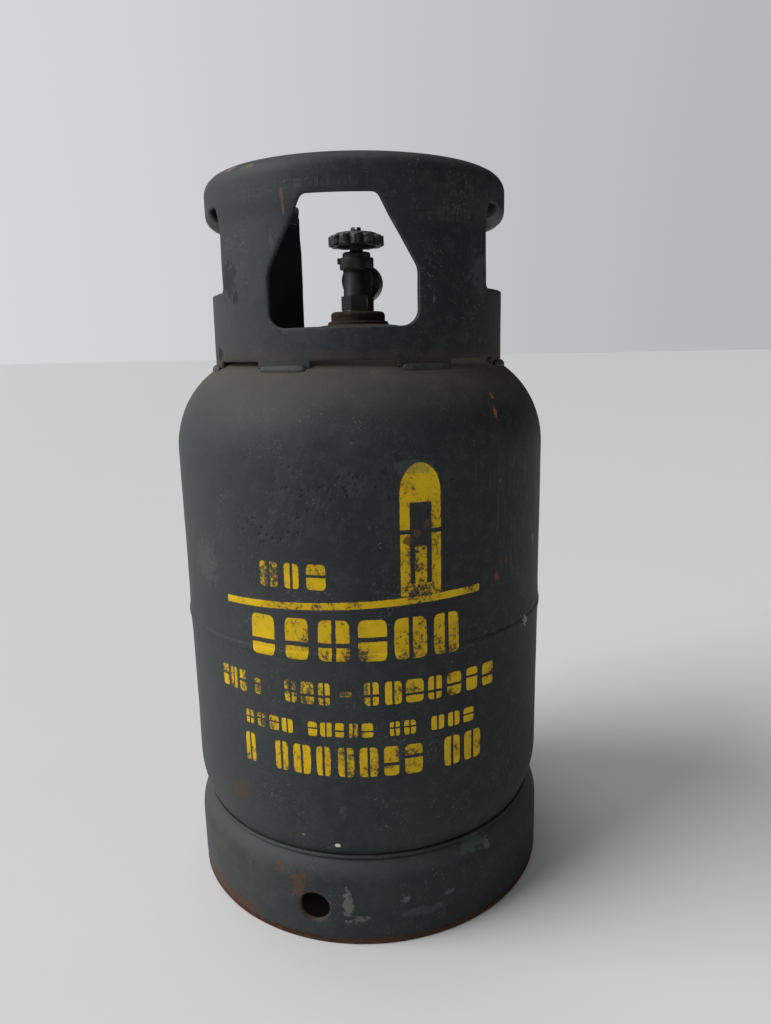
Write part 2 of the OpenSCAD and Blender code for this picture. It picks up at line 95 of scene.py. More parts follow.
def polar(radius: Points, turn: Points, height: Points) -> Points:
    """Turns cylinder places into points.

    Args:
        radius: Distances from the axis.
        turn: Turns from the front.
        height: Heights above the floor.

    Returns:
        One row of x, y, z for each place.
    """
    a = np.radians(turn)
    spread = np.broadcast_arrays(radius * np.sin(a), -radius * np.cos(a), height)
    return np.stack(spread, axis=-1)


def arc(centre: tuple[float, float], radius: float, start: float, end: float, steps: int) -> Points:
    """Gives points on an arc in a half section, its angles counted from the outward direction."""
    a = np.radians(np.linspace(start, end, steps))
    return np.stack([centre[0] + radius * np.cos(a), centre[1] + radius * np.sin(a)], axis=1)


def resample(line: Points, spacing: float) -> Points:
    """Spreads points evenly along a line, keeping its ends.

    Args:
        line: The line's points.
        spacing: Largest distance between the new points.

    Returns:
        The new points.
    """
    run = np.concatenate([[0.0], np.cumsum(np.linalg.norm(np.diff(line, axis=0), axis=1))])
    places = np.linspace(0.0, run[-1], max(2, math.ceil(run[-1] / spacing) + 1))
    return np.stack([np.interp(places, run, line[:, k]) for k in range(line.shape[1])], axis=1)


def dense(corners: Sequence[Sequence[float]], spacing: float) -> Points:
    """Walks a closed outline and keeps every corner.

    Args:
        corners: The outline's corners in order.
        spacing: Largest distance between points.

    Returns:
        The outline's points, the last not repeating the first.
    """
    ring = [np.array(c, float) for c in corners]
    sides = zip(ring, ring[1:] + ring[:1])
    return np.concatenate([resample(np.array([a, b]), spacing)[:-1] for a, b in sides])


def rounded(corners: Sequence[Sequence[float]], radii: Sequence[float], steps: int = 7) -> Points:
    """Rounds the corners of a closed outline.

    Args:
        corners: The corners in order.
        radii: A radius for each corner.
        steps: Points on each rounded corner.

    Returns:
        The rounded outline's corners.
    """
    out = []
    count = len(corners)
    for i, radius in enumerate(radii):
        here = np.array(corners[i], float)
        a = np.array(corners[i - 1], float) - here
        b = np.array(corners[(i + 1) % count], float) - here
        a /= np.linalg.norm(a)
        b /= np.linalg.norm(b)
        half = math.acos(float(np.clip(a @ b, -1, 1))) / 2
        reach = radius / math.tan(half)
        middle = here + (a + b) / np.linalg.norm(a + b) * radius / math.sin(half)
        first = here + a * reach - middle
        last = here + b * reach - middle
        for t in np.linspace(0, 1, steps):
            way = first * (1 - t) + last * t
            out.append(middle + way / np.linalg.norm(way) * radius)
    return np.array(out)


def lumps(points: Points, size: float, seed: float = 0.0) -> Points:
    """Gives smooth noise of about -1 to 1 at each point, in lumps as wide as the size."""
    return np.array([noise.noise(p) for p in points / size + seed])


def craters(points: Points, size: float, seed: float = 0.0) -> Points:
    """Gives the depth of a field of round pits at each point, 0 between them and up to 1."""
    near = np.array([noise.voronoi(p)[0][0] for p in points / size + seed])
    return np.clip(1 - near / 0.55, 0, 1)


def between(value: Points, low: float, high: float, soft: float) -> Points:
    """Gives 1 where a value lies between two others and 0 outside, with soft edges."""
    return np.clip((value - low) / soft + 0.5, 0, 1) * np.clip((high - value) / soft + 0.5, 0, 1)


def from_axis(points: Points) -> Points:
    """Gives each point's distance from the axis."""
    return np.linalg.norm(points[:, :2], axis=1)


def outward(points: Points, normals: Points) -> Points:
    """Gives a number above 0 where a normal points away from the axis, and below 0 towards it."""
    return (points[:, :2] * normals[:, :2]).sum(axis=1)


# ---- meshes ----


def mend(mesh: bpy.types.Mesh) -> None:
    """Joins doubled vertices, drops loose ones, turns the faces outwards and shades them smooth.

    Args:
        mesh: The mesh.
    """
    shape = bmesh.new()
    shape.from_mesh(mesh)
    bmesh.ops.remove_doubles(shape, verts=shape.verts, dist=0.002 * MM)
    bmesh.ops.recalc_face_normals(shape, faces=shape.faces)
    loose = [v for v in shape.verts if not v.link_faces]
    bmesh.ops.delete(shape, geom=loose, context="VERTS")
    shape.to_mesh(mesh)
    shape.free()
    mesh.shade_smooth()


def new_mesh(name: str, points: Points, faces: Faces, sharp: float = 40.0) -> bpy.types.Mesh:
    """Makes a closed mesh whose faces point outwards.

    Args:
        name: The mesh's name.
        points: Vertices in millimetres.
        faces: Vertex numbers of each face.
        sharp: Edges that turn more than this stay crisp.

    Returns:
        The mesh, in metres.
    """
    mesh = bpy.data.meshes.new(name)
    mesh.from_pydata((points * MM).tolist(), [], faces)
    mend(mesh)
    mesh.set_sharp_from_angle(angle=math.radians(sharp))
    return mesh


def new_piece(
    name: str, mesh: bpy.types.Mesh, finish: bpy.types.Material, body: Body, slot: Slot, *nodes: str
) -> bpy.types.Object:
    """Puts a mesh in the scene in place of construction nodes.

    Args:
        name: The piece's name.
        mesh: Its mesh.
        finish: Its material.
        body: The body that it rides on.
        slot: The record's slot that its finish stands for; not used.
        *nodes: The nodes that it replaces.

    Returns:
        The piece.
    """
    piece = bpy.data.objects.new(name, mesh)
    bpy.context.scene.collection.objects.link(piece)
    mesh.materials.append(finish)
    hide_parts(*nodes)
    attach(piece, body.value)
    log.info("%s: %d faces, rides on %s", name, len(mesh.polygons), body.value)
    return piece


def coordinates(mesh: bpy.types.Mesh) -> Points:
    """Reads a mesh's vertices.

    Args:
        mesh: The mesh.

    Returns:
        Its points in millimetres.
    """
    flat = np.empty(len(mesh.vertices) * 3, np.float32)
    mesh.vertices.foreach_get("co", flat)
    return flat.reshape(-1, 3).astype(float) / MM


def dent(mesh: bpy.types.Mesh, depth: Callable[[Points, Points], Points]) -> None:
    """Moves a mesh's vertices along their normals.

    Args:
        mesh: The mesh.
        depth: Gives how far each moves, from the points and the normals.
    """
    points = coordinates(mesh)
    flat = np.empty(len(mesh.vertices) * 3, np.float32)
    mesh.vertex_normals.foreach_get("vector", flat)
    normals = flat.reshape(-1, 3).astype(float)
    moved = points + normals * depth(points, normals)[:, None]
    mesh.vertices.foreach_set("co", (moved * MM).astype(np.float32).ravel())
    mesh.update()


def note(mesh: bpy.types.Mesh, name: str, values: Points) -> None:
    """Keeps a number for each vertex, which a material can read."""
    layer = mesh.attributes.new(name, "FLOAT", "POINT")
    layer.data.foreach_set("value", np.asarray(values, np.float32))


def lathe(name: str, outline: Points, turns: int, sharp: float = 40.0) -> bpy.types.Mesh:
    """Turns a closed half section round the axis; edges over the sharp angle stay crisp."""
    return wavy_lathe(name, [outline] * turns, sharp)


def wavy_lathe(name: str, outlines: Sequence[Points], sharp: float = 40.0) -> bpy.types.Mesh:
    """Joins closed half sections that change round the axis.

    Args:
        name: The mesh's name.
        outlines: One half section for each step, all with as many points.
        sharp: Edges that turn more than this stay crisp.

    Returns:
        The mesh.
    """
    turns = len(outlines)
    count = len(outlines[0])
    turn = np.arange(turns) * 360.0 / turns
    rings = np.array(outlines)
    points = polar(rings[:, :, 0], turn[:, None], rings[:, :, 1]).reshape(-1, 3)
    i, j = np.meshgrid(np.arange(turns), np.arange(count), indexing="ij")
    near, far = i * count, (i + 1) % turns * count
    up = (j + 1) % count
    faces = np.stack([near + j, far + j, far + up, near + up], axis=-1).reshape(-1, 4)
    return new_mesh(name, points, faces.tolist(), sharp)


def ring_bead(
    name: str, centre: tuple[float, float], size: float, steps: int, wave: tuple[float, float, float]
) -> bpy.types.Mesh:
    """Makes a round bead that runs round the axis.

    Args:
        name: The mesh's name.
        centre: Distance from the axis and height of its middle.
        size: Its radius where it is thickest.
        steps: Steps round the axis.
        wave: How much thinner it gets, how fast along its way, and the place in the noise.

    Returns:
        The mesh.
    """
    share, pace, seed = wave
    outlines = []
    for i in range(steps):
        a = 2 * math.pi * i / steps
        lump = noise.noise((pace * math.cos(a), pace * math.sin(a), seed))
        outlines.append(arc(centre, size * (1 - share + share * lump), 0, 330, 12))
    return wavy_lathe(name, outlines)


# ---- sheet parts: cut flat, then rolled and bent ----


@dataclass
class Border:
    """An edge of a flat sheet, with the material on its left.

    Attributes:
        line: Its points in the flat sheet.
        closed: Whether its last point joins its first.
    """

    line: Points
    closed: bool = True

    def offset(self, depth: float) -> Points:
        """Moves the border into the material.

        Args:
            depth: How far.

        Returns:
            The moved points.
        """
        ahead = np.roll(self.line, -1, axis=0) - self.line
        if not self.closed:
            ahead[-1] = ahead[-2]
        behind = np.roll(ahead, 1, axis=0)
        if not self.closed:
            behind[0] = ahead[0]
        sides = []
        for way in (ahead, behind):
            way = way / np.linalg.norm(way, axis=1)[:, None]
            sides.append(np.stack([-way[:, 1], way[:, 0]], axis=1))
        share = 1 + np.clip((sides[0] * sides[1]).sum(axis=1), -0.5, 1)
        return self.line + (sides[0] + sides[1]) * (depth / share)[:, None]


def crossings(points: Points, borders: Sequence[Border]) -> Points:
    """Counts how many closed borders hold each point.

    Args:
        points: Places in the flat sheet.
        borders: The borders.

    Returns:
        Whether the count is odd, for each point.
    """
    odd = np.zeros(len(points), bool)
    x, y = points[:, 0], points[:, 1]
    for border in borders:
        if not border.closed:
            continue
        for (x1, y1), (x2, y2) in zip(border.line, np.roll(border.line, -1, axis=0)):
            if y1 == y2:
                continue
            spans = (y1 > y) != (y2 > y)
            odd ^= spans & (x < (x2 - x1) * (y - y1) / (y2 - y1) + x1)
    return odd


@dataclass
class Sheet:
    """A flat sheet with rounded edges, ready to be rolled into its shape.

    Attributes:
        name: The mesh's name.
        borders: Its edges.
        columns: Places of the inner points along the sheet.
        rows: Places of the inner points across it.
        thickness: Thickness of the sheet.
        edge_radius: Rounding of its edges.
        framed: Whether a border goes round the whole sheet.
    """

    name: str
    borders: list[Border]
    columns: Points
    rows: Points
    thickness: float
    edge_radius: float = 0.8
    framed: bool = True

    def roll(self, place: Callable[[Points, Points, Points], Points]) -> bpy.types.Mesh:
        """Fills the sheet with triangles and bends it.

        Args:
            place: Gives a point from the place along, across and above the flat sheet's middle.

        Returns:
            The bent mesh, with the attributes edge and inside.
        """
        flat, levels, rims = self._border_points()
        flat, levels = self._with_inner_points(flat, levels)
        verts, _, tris, origins, _, _ = delaunay_2d_cdt(
            [Vector(p) for p in flat], [pair for rim in rims for pair in rim], [], 0, 1e-6
        )
        flat2 = np.array([tuple(v) for v in verts])
        level = np.array([levels[o[0]] if o else 3 for o in origins])
        back = {o: i for i, each in enumerate(origins) for o in each}
        faces = np.array(tris)
        held = crossings(flat2[faces].mean(axis=1), self.borders) == self.framed
        faces = faces[held]
        radius = self.edge_radius
        drop = np.select([level == 0, level == 1], [radius, radius * HALF_ROUND], 0.0)
        height = self.thickness / 2 - drop
        outer = place(flat2[:, 0], flat2[:, 1], height)
        inner = place(flat2[:, 0], flat2[:, 1], -height)
        count = len(flat2)
        sides = [
            (back[a], back[b], back[b] + count, back[a] + count) for rim in rims[::3] for a, b in rim
        ]
        all_faces = faces.tolist() + (faces[:, ::-1] + count).tolist() + sides
        mesh = bpy.data.meshes.new(self.name)
        mesh.from_pydata((np.concatenate([outer, inner]) * MM).tolist(), [], all_faces)
        near = self._edge_nearness(flat2)
        note(mesh, "edge", np.concatenate([near, near]))
        note(mesh, "inside", np.repeat([0.0, 1.0], count))
        mend(mesh)
        return mesh

    def _border_points(self) -> tuple[list[Points], list[int], list[list[tuple[int, int]]]]:
        """Lists the points of every border, three rims for each.

        Returns:
            The points, their levels and the rims' pairs of neighbours.
        """
        flat, levels, rims = [], [], []
        for border in self.borders:
            for level, depth in enumerate((0.0, self.edge_radius * HALF_ROUND, self.edge_radius)):
                line = border.offset(depth) if depth else border.line
                start, count = len(flat), len(line)
                flat += list(line)
                levels += [level] * count
                pairs = [(start + i, start + (i + 1) % count) for i in range(count)]
                rims.append(pairs if border.closed else pairs[:-1])
        return flat, levels, rims

    def _with_inner_points(
        self, flat: list[Points], levels: list[int]
    ) -> tuple[list[Points], list[int]]:
        """Adds the points of the grid that lie in the material, clear of the borders.

        Args:
            flat: The borders' points.
            levels: Their levels.

        Returns:
            All points and their levels.
        """
        u, v = np.meshgrid(self.columns, self.rows, indexing="ij")
        grid = np.stack([u.ravel(), v.ravel()], axis=1)
        grid = grid[crossings(grid, self.borders) == self.framed]
        tree = self._tree(flat)
        clear = 1.3 * self.edge_radius
        inner = [p for p in grid if tree.find((p[0], p[1], 0.0))[2] > clear]
        return flat + inner, levels + [3] * len(inner)

    def _edge_nearness(self, flat: Points) -> Points:
        """Measures how near each point is to a border.

        Args:
            flat: The points.

        Returns:
            1 at the borders, falling to 0 at 5 mm from them.
        """
        tree = self._tree([p for border in self.borders for p in border.line])
        far = np.array([tree.find((p[0], p[1], 0.0))[2] for p in flat])
        return np.clip(1 - far / 5.0, 0, 1)

    @staticmethod
    def _tree(flat: Sequence[Points]) -> kdtree.KDTree:
        """Makes a search tree of flat points.

        Args:
            flat: The points.

        Returns:
            The tree.
        """
        tree = kdtree.KDTree(len(flat))
        for i, p in enumerate(flat):
            tree.insert((p[0], p[1], 0.0), i)
        tree.balance()
        return tree


# ---- shader building ----


class Wiring:
    """Adds nodes to a tree and joins them, one call for each node."""

    def __init__(self, tree: bpy.types.NodeTree) -> None:
        """Keeps the tree."""
        self.tree = tree

    def node(self, kind: str, **settings: object) -> bpy.types.Node:
        """Adds a node.

        Args:
            kind: The node's type name without its ShaderNode prefix.
            **settings: Properties of the node.

        Returns:
            The node.
        """
        made = self.tree.nodes.new("ShaderNode" + kind)
        for key, value in settings.items():
            setattr(made, key, value)
        return made

    def put(self, socket: Socket, value: object) -> None:
        """Joins a socket to another, or sets its value.

        Args:
            socket: The input.
            value: An output socket, a number or a colour.
        """
        if isinstance(value, bpy.types.NodeSocket):
            self.tree.links.new(value, socket)
        elif isinstance(value, tuple) and socket.type == "RGBA":
            socket.default_value = (*value, 1.0)
        else:
            socket.default_value = value

    def feed(
        self, made: bpy.types.Node, values: dict[int | str, object], out: int | str = 0
    ) -> Socket:
        """Joins or sets a node's inputs.

        Args:
            made: The node.
            values: What goes into each input, by its place or name.
            out: Place or name of the output.

        Returns:
            The output.
        """
        for key, value in values.items():
            self.put(made.inputs[key], value)
        return made.outputs[out]

    def math(self, operation: str, a: object, b: object = 0.0) -> Socket:
        """Works out one operation on one or two values."""
        return self.feed(self.node("Math", operation=operation), {0: a, 1: b})

    def near(self, value: object, middle: float, reach: float) -> Socket:
        """Gives 1 where a value lies within reach of the middle, and 0 elsewhere."""
        return self.feed(self.node("Math", operation="COMPARE"), {0: value, 1: middle, 2: reach})

    def add_product(self, a: object, b: object, rest: object) -> Socket:
        """Adds the product of two values to the rest."""
        return self.feed(self.node("Math", operation="MULTIPLY_ADD"), {0: a, 1: b, 2: rest})

    def product(self, *values: object) -> Socket:
        """Multiplies several values."""
        return reduce(lambda a, b: self.math("MULTIPLY", a, b), values)

    def most(self, *values: object) -> Socket:
        """Gives the largest of several values."""
        return reduce(lambda a, b: self.math("MAXIMUM", a, b), values)

    def ramp(
        self, value: object, low: object, high: object, to_low: object = 0.0, to_high: object = 1.0
    ) -> Socket:
        """Maps a value from one range to another, smoothly and clamped."""
        made = self.node("MapRange", interpolation_type="SMOOTHSTEP")
        return self.feed(made, {0: value, 1: low, 2: high, 3: to_low, 4: to_high})

    def band(self, value: object, low: object, high: object, soft: float) -> Socket:
        """Gives 1 between two values, with soft edges.

        Args:
            value: The value.
            low: Start of the band.
            high: End of the band.
            soft: Half width of each soft edge.

        Returns:
            The band.
        """
        rise = self.math("SUBTRACT", value, low)
        fall = self.math("SUBTRACT", high, value)
        return self.product(self.ramp(rise, -soft, soft), self.ramp(fall, -soft, soft))

    def mix(self, share: object, a: object, b: object) -> Socket:
        """Mixes two colours; the share is how much of the second."""
        return self.feed(self.node("Mix", data_type="RGBA"), {0: share, 6: a, 7: b}, 2)

    def blend(self, share: object, a: object, b: object) -> Socket:
        """Mixes two numbers; the share is how much of the second."""
        return self.feed(self.node("Mix", data_type="FLOAT"), {0: share, 2: a, 3: b})

    def noise(
        self, where: object, size: float, detail: float = 3.0, rough: float = 0.5, warp: float = 0.0
    ) -> Socket:
        """Adds fractal noise.

        Args:
            where: Place in millimetres.
            size: Width of its largest lumps in millimetres.
            detail: Number of finer layers.
            rough: Strength of the finer layers.
            warp: How much the lumps are twisted.

        Returns:
            Values round 0.5.
        """
        given = {
            "Vector": where, "Scale": 1 / size, "Detail": detail, "Roughness": rough,
            "Distortion": warp,
        }
        return self.feed(self.node("TexNoise"), given, "Fac")

    def cells(self, where: object, size: float) -> Socket:
        """Gives the distance to the middle of the nearest of many cells of a size in millimetres."""
        return self.feed(self.node("TexVoronoi"), {"Vector": where, "Scale": 1 / size}, "Distance")

    def stretch(self, where: object, factors: Colour) -> Socket:
        """Multiplies a place by a factor on each axis."""
        return self.feed(self.node("VectorMath", operation="MULTIPLY"), {0: where, 1: factors})

    def use(self, group: bpy.types.NodeTree, **values: object) -> Socket:
        """Places a shared group with its inputs by name, and gives its only output."""
        return self.feed(self.node("Group", node_tree=group), values)


class Effects:
    """The shader groups that several materials share, each built once."""

    def __init__(self) -> None:
        """Builds every group."""
        self.clouds = self._clouds()
        self.speckle = self._speckle()
        self.wear = self._wear()
        self.scuffs = self._scuffs()
        self.patch = self._patch()
        self.blocks = self._blocks()
        self.pits = self._pits()

    @staticmethod
    def _open(name: str, inputs: dict[str, float | None]) -> tuple[Wiring, dict[str, Socket], Socket]:
        """Starts a group.

        Args:
            name: The group's name.
            inputs: Its inputs and their starting values, None for a vector.

        Returns:
            The wiring, its input sockets by name, and the socket of its result.
        """
        tree = bpy.data.node_groups.new(name, "ShaderNodeTree")
        for key, value in inputs.items():
            kind = "NodeSocketVector" if value is None else "NodeSocketFloat"
            made = tree.interface.new_socket(name=key, in_out="INPUT", socket_type=kind)
            if value is not None:
                made.default_value = value
        tree.interface.new_socket(name="Value", in_out="OUTPUT", socket_type="NodeSocketFloat")
        wiring = Wiring(tree)
        entry = tree.nodes.new("NodeGroupInput")
        leave = tree.nodes.new("NodeGroupOutput")
        return wiring, {key: entry.outputs[key] for key in inputs}, leave.inputs["Value"]

    def _clouds(self) -> bpy.types.NodeTree:
        """Large soft patches broken by finer ones.

        Returns:
            The group.
        """
        w, given, out = self._open("soft_clouds", {"Place": None, "Low": 0.4, "High": 0.65})
        broad = w.noise(given["Place"], 90.0, 4.0, 0.55, 0.6)
        fine = w.noise(given["Place"], 11.0, 4.0, 0.65)
        both = w.math("ADD", w.product(broad, 0.65), w.product(fine, 0.35))
        w.put(out, w.ramp(both, given["Low"], given["High"]))
        return w.tree

    def _speckle(self) -> bpy.types.NodeTree:
        """Small sparse specks.

        Returns:
            The group.
        """
        w, given, out = self._open("fine_specks", {"Place": None, "Share": 0.7})
        dots = w.noise(given["Place"], 1.3, 2.0, 0.6)
        where = w.noise(given["Place"], 24.0, 3.0, 0.6)
        both = w.math("ADD", w.product(dots, 0.8), w.product(where, 0.35))
        edge = w.math("ADD", given["Share"], 0.05)
        w.put(out, w.ramp(both, given["Share"], edge))
        return w.tree

    def _wear(self) -> bpy.types.NodeTree:
        """Paint lost near an edge, in broken flakes.

        Returns:
            The group.
        """
        w, given, out = self._open("edge_wear", {"Place": None, "Edge": 0.0, "Amount": 0.5})
        flakes = w.noise(given["Place"], 4.5, 5.0, 0.7, 0.4)
        where = w.noise(given["Place"], 38.0, 2.0, 0.5)
        reach = w.math("ADD", w.product(given["Edge"], given["Amount"]), w.product(where, 0.35))
        w.put(out, w.ramp(w.math("ADD", reach, flakes), 1.02, 1.1))
        return w.tree

    def _scuffs(self) -> bpy.types.NodeTree:
        """Fine scratches that run up and down.

        Returns:
            The group.
        """
        w, given, out = self._open("upright_scuffs", {"Place": None, "Share": 0.62})
        lines = w.noise(w.stretch(given["Place"], (1.0, 1.0, 0.07)), 1.6, 4.0, 0.7)
        where = w.noise(given["Place"], 30.0, 3.0, 0.6)
        both = w.math("ADD", w.product(lines, 0.75), w.product(where, 0.3))
        edge = w.math("ADD", given["Share"], 0.06)
        w.put(out, w.ramp(both, given["Share"], edge))
        return w.tree

    def _patch(self) -> bpy.types.NodeTree:
        """One ragged mark at a turn and height.

        Returns:
            The group.
        """
        sizes = {"Turn": 0.0, "Height": 0.0, "At": 0.0, "Level": 0.0, "Wide": 5.0, "Tall": 5.0}
        w, given, out = self._open("ragged_mark", {"Place": None, **sizes, "Ragged": 1.0})
        across = w.math("DIVIDE", w.math("SUBTRACT", given["Turn"], given["At"]), given["Wide"])
        along = w.math("DIVIDE", w.math("SUBTRACT", given["Height"], given["Level"]), given["Tall"])
        squares = w.math("ADD", w.product(across, across), w.product(along, along))
        far = w.math("SQRT", squares)
        rough = w.math("SUBTRACT", w.noise(given["Place"], 5.0, 6.0, 0.7), 0.5)
        reach = w.math("ADD", far, w.product(rough, given["Ragged"], 3.0))
        w.put(out, w.ramp(reach, 1.15, 0.75))
        return w.tree

    def _blocks(self) -> bpy.types.NodeTree:
        """A row of plain stencilled blocks with bridges through them.

        Returns:
            The group.
        """
        sizes = {"Turn": 0.0, "Height": 0.0, "From": 0.0, "To": 1.0, "Low": 0.0, "High": 1.0}
        w, given, out = self._open("block_row", {**sizes, "Cells": 4.0, "Seed": 0.0})
        width = w.math("SUBTRACT", given["To"], given["From"])
        share = w.math("DIVIDE", w.math("SUBTRACT", given["Turn"], given["From"]), width)
        run = w.product(share, given["Cells"])
        chance = w.node("TexWhiteNoise", noise_dimensions="1D")
        w.put(chance.inputs["W"], w.math("ADD", w.math("FLOOR", run), given["Seed"]))
        parts = w.node("SeparateColor")
        w.put(parts.inputs[0], chance.outputs["Color"])
        off = w.math("ABSOLUTE", w.math("SUBTRACT", w.math("FRACT", run), 0.5))
        half = w.math("ADD", w.product(parts.outputs[0], 0.13), 0.31)
        tall = w.math("SUBTRACT", given["High"], given["Low"])
        rise = w.math("DIVIDE", w.math("SUBTRACT", given["Height"], given["Low"]), tall)
        upright = w.product(w.ramp(off, 0.075, 0.04), w.math("GREATER_THAN", parts.outputs[1], 0.5))
        level = w.math("ADD", w.product(parts.outputs[2], 0.3), 0.35)
        gap = w.math("ABSOLUTE", w.math("SUBTRACT", rise, level))
        lying = w.product(w.ramp(gap, 0.075, 0.04), w.math("LESS_THAN", parts.outputs[1], 0.6))
        bridge = w.math("SUBTRACT", 1.0, w.most(upright, lying))
        inside = w.band(share, 0.0, 1.0, 0.001)
        wide = w.math("POWER", w.math("DIVIDE", off, half), 6.0)
        high = w.math("POWER", w.product(w.math("ABSOLUTE", w.math("SUBTRACT", rise, 0.5)), 2.0), 6.0)
        block = w.ramp(w.math("ADD", wide, high), 1.15, 0.8)
        w.put(out, w.product(block, bridge, inside))
        return w.tree

    def _pits(self) -> bpy.types.NodeTree:
        """Relief of small round pits, 0 to 1 deep.

        Returns:
            The group.
        """
        w, given, out = self._open("round_pits", {"Place": None, "Share": 0.5})
        far = w.cells(given["Place"], 3.6)
        where = w.noise(given["Place"], 14.0, 3.0, 0.6)
        pit = w.ramp(far, 0.42, 0.1)
        w.put(out, w.product(pit, w.ramp(where, given["Share"], w.math("ADD", given["Share"], 0.1))))
        return w.tree


class Coat:
    """A material that is built up in layers of colour, roughness and relief."""

    def __init__(self, name: str, base: Colour, rough: float, metallic: float = 0.0) -> None:
        """Starts from one even layer.

        Args:
            name: The material's name.
            base: Colour of the first layer.
            rough: Its roughness.
            metallic: 1 for bare metal.
        """
        self.material = bpy.data.materials.new(name)
        self.material.use_nodes = True
        self.material.node_tree.nodes.clear()
        self.w = Wiring(self.material.node_tree)
        place = self.w.node("TexCoord").outputs["Object"]
        self.place = self.w.stretch(place, (1 / MM,) * 3)
        axes = self.w.node("SeparateXYZ")
        self.w.put(axes.inputs[0], self.place)
        x, y, self.height = axes.outputs
        self.turn = self.w.product(
            self.w.math("ARCTAN2", x, self.w.product(y, -1.0)), 180 / math.pi
        )
        squares = self.w.math("ADD", self.w.product(x, x), self.w.product(y, y))
        self.radius = self.w.math("SQRT", squares)
        normal = self.w.node("SeparateXYZ")
        self.w.put(normal.inputs[0], self.w.node("NewGeometry").outputs["Normal"])
        self.up = normal.outputs[2]
        self.edge = self.w.node("Attribute", attribute_name="edge").outputs["Fac"]
        self.inside = self.w.node("Attribute", attribute_name="inside").outputs["Fac"]
        self.colour: object = base
        self.rough: object = rough
        self.metallic: object = metallic
        self.relief: object = 0.0

    def lay(
        self,
        mask: object,
        colour: Colour | None = None,
        rough: float | None = None,
        relief: float = 0.0,
        metallic: float | None = None,
    ) -> None:
        """Adds a layer where a mask is 1.

        Args:
            mask: Where the layer lies.
            colour: Its colour, or None to keep what is below.
            rough: Its roughness, or None.
            relief: How far it stands up, in millimetres.
            metallic: Its metallic value, or None.
        """
        if colour is not None:
            self.colour = self.w.mix(mask, self.colour, colour)
        if rough is not None:
            self.rough = self.w.blend(mask, self.rough, rough)
        if metallic is not None:
            self.metallic = self.w.blend(mask, self.metallic, metallic)
        if relief:
            self.relief = self.w.math("ADD", self.relief, self.w.product(mask, relief))

    def mark(self, at: "Mark", group: bpy.types.NodeTree) -> None:
        """Adds one ragged mark.

        Args:
            at: The mark.
            group: The ragged mark's group.
        """
        spot = self.w.use(
            group, Place=self.place, Turn=self.turn, Height=self.height, At=at.turn,
            Level=at.height, Wide=at.wide, Tall=at.tall, Ragged=at.ragged,
        )
        self.lay(self.w.product(spot, at.strength), at.colour, at.rough, at.relief)

    def rows(
        self, words: Sequence["Word"], group: bpy.types.NodeTree, turn: Socket, height: Socket
    ) -> Socket:
        """Picks the word that each place lies in, then draws its blocks.

        Args:
            words: The groups of blocks, clear of one another.
            group: The block row's group.
            turn: Turn from the front.
            height: Height.

        Returns:
            Where the blocks are.
        """
        sums: dict[str, object] = dict.fromkeys(("From", "To", "Low", "High", "Cells", "Seed", "Any"), 0.0)
        for p in words:
            across = self.w.near(turn, (p.start + p.end) / 2, (p.end - p.start) / 2 + 0.4)
            along = self.w.near(height, (p.low + p.high) / 2, (p.high - p.low) / 2 + 1.2)
            here = self.w.product(across, along)
            values = (p.start, p.end, p.low, p.high, float(p.cells), p.seed, 1.0)
            for key, value in zip(sums, values):
                sums[key] = self.w.add_product(here, float(value), sums[key])
        found = sums.pop("Any")
        return self.w.product(self.w.use(group, Turn=turn, Height=height, **sums), found)

    def close(self, specular: float = 0.5) -> bpy.types.Material:
        """Joins the layers to the shader.

        Args:
            specular: Strength of the plain reflection.

        Returns:
            The finished material.
        """
        shader = self.w.node("BsdfPrincipled")
        self.w.put(shader.inputs["Base Color"], self.colour)
        self.w.put(shader.inputs["Roughness"], self.rough)
        self.w.put(shader.inputs["Metallic"], self.metallic)
        shader.inputs["Specular IOR Level"].default_value = specular
        if isinstance(self.relief, bpy.types.NodeSocket):
            bump = self.w.node("Bump")
            bump.inputs["Strength"].default_value = 1.0
            bump.inputs["Distance"].default_value = MM
            self.w.put(bump.inputs["Height"], self.relief)
            self.w.put(shader.inputs["Normal"], bump.outputs[0])
        out = self.w.node("OutputMaterial")
        self.w.put(out.inputs[0], shader.outputs[0])
        return self.material


# ---- finishes ----


class Tone(Enum):
    """Colours that several finishes share."""

    PAINT = (0.021, 0.026, 0.028)
    # pale grey of chalked paint, also used as painted light on the lit left and upper faces
    CHALK_AND_PAINTED_LIGHT = (0.066, 0.07, 0.069)
    DUST = (0.13, 0.105, 0.075)
    RUST = (0.13, 0.042, 0.018)
    DARK_RUST = (0.045, 0.022, 0.013)
    YELLOW = (0.72, 0.48, 0.008)
    BRASS = (0.42, 0.29, 0.1)
    BLACK = (0.012, 0.013, 0.013)


@dataclass(frozen=True)
class Mark:
    """One mark on a painted wall.

    Attributes:
        turn: Turn of its middle.
        height: Height of its middle.
        wide: Half width in degrees.
        tall: Half height in millimetres.
        colour: Its colour.
        strength: How much it covers.
        ragged: How broken its outline is.
        rough: Its roughness.
        relief: How far it stands up, in millimetres.
    """

    turn: float
    height: float
    wide: float
    tall: float
    colour: Colour
    strength: float = 1.0
    ragged: float = 1.0
    rough: float = 0.8
    relief: float = 0.0


@dataclass(frozen=True)
class Word:
    """A group of stencilled blocks.

    Attributes:
        start: Turn at which it starts.
        end: Turn at which it ends.
        low: Height of its lower edge.
        high: Height of its upper edge.
        cells: Number of blocks.
        seed: Picks the blocks' widths and bridges.
    """

    start: float
    end: float
    low: float
    high: float
    cells: int
    seed: float


